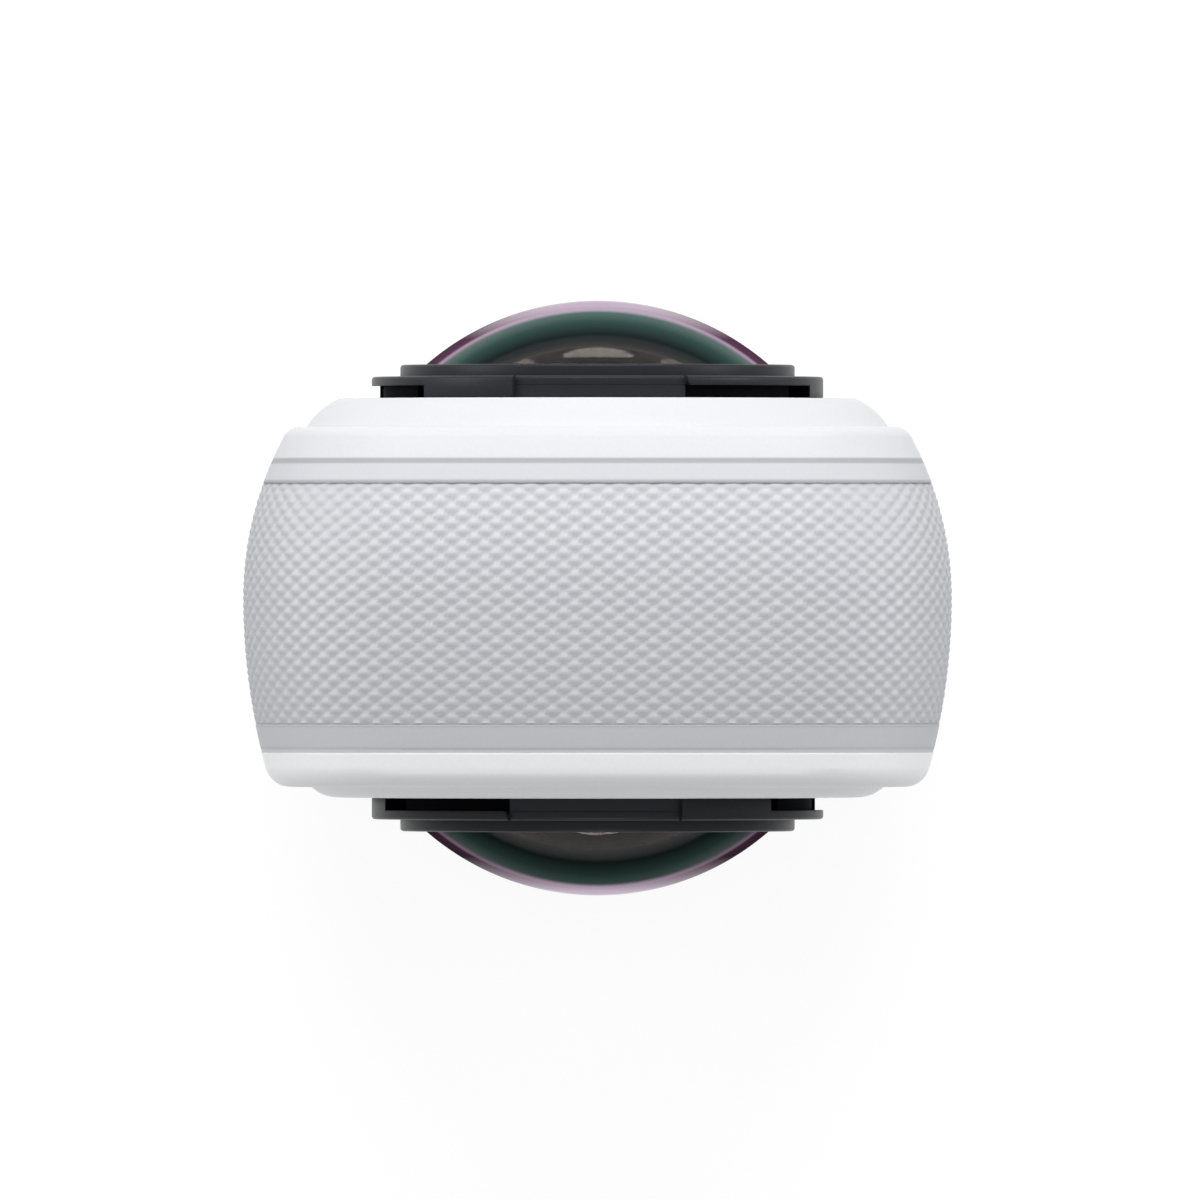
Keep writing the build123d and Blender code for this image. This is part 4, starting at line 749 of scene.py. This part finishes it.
# %% Light pipes, metal and boards
milky = finish_material("milky light pipe", (0.80, 0.84, 0.84), 0.20)
steel = finish_material("turned steel", (0.56, 0.56, 0.57), 0.28, metal=1.0, grain=0.00001)
alloy = finish_material("blasted alloy", (0.62, 0.63, 0.65), 0.45, metal=1.0, grain=0.00002)
board_green = finish_material("board solder mask", (0.01, 0.07, 0.04), 0.35, tone=0.1)
dress(milky, "front_light", "rear_light")
dress(steel, "bracket_screws", "board_screws", "base_screws", "usb_hinge_pin", "shield_can", "usb_socket",
      "side_switches", "rear_switches", "mic_meshes", "tripod_bushing")
dress(alloy, "lens_bracket", "heat_spreader")
dress(board_green, "main_board", "side_board", "rear_button_board", "front_sensor_board",
      "rear_sensor_board", "sensor_flexes", "antenna")

# %% [markdown]
# The stage is a white floor. For the camera, for mirror rays and through glass it gets a
# little glow on top of its own light, so that it reads as white and still holds the
# camera's shadow.

# %% Floor
FLOOR_REACH, FLOOR_TONE, FLOOR_GLOW = 3.0, 0.20, 0.84


def one_for_seen_rays(tree, amount):
    """One for camera, mirror and glass rays, and the given amount for all others."""
    path = add(tree, "LightPath", {})
    for ray in ("Is Camera Ray", "Is Glossy Ray", "Is Transmission Ray"):
        amount = calc(tree, "MAXIMUM", amount, path.outputs[ray])
    return amount


def white_stage():
    """White floor whose lit parts reach full white for camera, gloss and glass rays."""
    material, tree = fresh("white floor")[:2]
    tree.nodes.clear()
    matte = add(tree, "BsdfDiffuse", {"Color": (FLOOR_TONE, FLOOR_TONE, FLOOR_TONE, 1)})
    strength = calc(tree, "MULTIPLY", one_for_seen_rays(tree, 0.0), FLOOR_GLOW)
    glow = add(tree, "Emission", {"Color": (*WHITE, 1), "Strength": strength})
    both = add(tree, "AddShader", {0: matte.outputs[0], 1: glow.outputs[0]})
    add(tree, "OutputMaterial", {"Surface": both.outputs[0]})
    return material


floor_mesh = bpy.data.meshes.new("floor")
corners = [(-1, -1), (1, -1), (1, 1), (-1, 1)]
floor_mesh.from_pydata([(x * FLOOR_REACH, y * FLOOR_REACH, 0) for x, y in corners], [], [(0, 1, 2, 3)])
floor = bpy.data.objects.new("floor", floor_mesh)
floor_mesh.materials.append(white_stage())
bpy.context.collection.objects.link(floor)
print("floor", 2 * FLOOR_REACH, "m wide")

# %% [markdown]
# The light comes as in a product tent: a broad key from above the front lens, a weaker
# lamp from above the rear and one on each side. Each lamp is a name, a place, a width and
# a height in metres, and a power in watts.

# %% Lights
AIM = (0, 0, 0.1)
LAMPS = [("key", (0.0, 1.1, 0.66), 1.3, 0.24, 12.1),
         ("back", (0.0, -0.9, 0.85), 0.8, 0.12, 3.9),
         ("left side", (-0.95, 0.38, 0.36), 0.6, 0.6, 4.5),
         ("right side", (0.95, 0.38, 0.36), 0.6, 0.6, 4.3)]
for name, place, width, height, power in LAMPS:
    light = bpy.data.lights.new(name, "AREA")
    light.shape = "ELLIPSE"
    light.size, light.size_y = width, height
    light.energy = power
    lamp = bpy.data.objects.new(name, light)
    lamp.location = place
    lamp.rotation_euler = (Vector(AIM) - Vector(place)).to_track_quat("-Z", "Y").to_euler()
    bpy.context.collection.objects.link(lamp)
    print(name, power, "W")

# %% [markdown]
# The pale surround is brighter at the front, so the rear side falls off softly. It is full
# white for the same rays as the floor.

# %% Surround
REAR_SKY, FRONT_SKY = 0.08, 0.72
world = bpy.data.worlds.new("surround")
bpy.context.scene.world = world
world.use_nodes = True
tree = world.node_tree
sky = tree.nodes["Background"]
sky.inputs["Color"].default_value = (*WHITE, 1)
way = add(tree, "SeparateXYZ", {0: add(tree, "TexCoord", {}).outputs["Generated"]})
fade = add(tree, "MapRange", {"Value": way.outputs["Y"], "From Min": -1.0, "From Max": 1.0,
                              "To Min": REAR_SKY, "To Max": FRONT_SKY})
tree.links.new(one_for_seen_rays(tree, fade.outputs["Result"]), sky.inputs["Strength"])
print("surround from", REAR_SKY, "at the rear to", FRONT_SKY, "at the front")

# %% [markdown]
# The photograph looks straight down from far away, with the front lens at the top of the
# picture. The framing follows from the body's width on the picture.

# %% The viewing camera
PHOTO_WIDTH = 1200
BODY_WIDTH_ON_PHOTO = 709
CENTRE_ON_PHOTO = (597.5, 598.0)
DISTANCE, SENSOR = 2.5, 36.0
metres_per_pixel = WIDTH / BODY_WIDTH_ON_PHOTO
view = bpy.data.cameras.new("view from above")
view.sensor_width = SENSOR
view.lens = SENSOR * DISTANCE / (PHOTO_WIDTH * metres_per_pixel)
viewer = bpy.data.objects.new("view from above", view)
viewer.location = ((PHOTO_WIDTH / 2 - CENTRE_ON_PHOTO[0]) * metres_per_pixel,
                   (CENTRE_ON_PHOTO[1] - PHOTO_WIDTH / 2) * metres_per_pixel,
                   HEIGHT - TOP_CORNER + DISTANCE)
viewer.rotation_euler = (0, 0, 0)
bpy.context.collection.objects.link(viewer)
bpy.context.scene.camera = viewer
bpy.context.scene.view_settings.view_transform = "Standard"
print("lens", round(view.lens, 1), "mm")
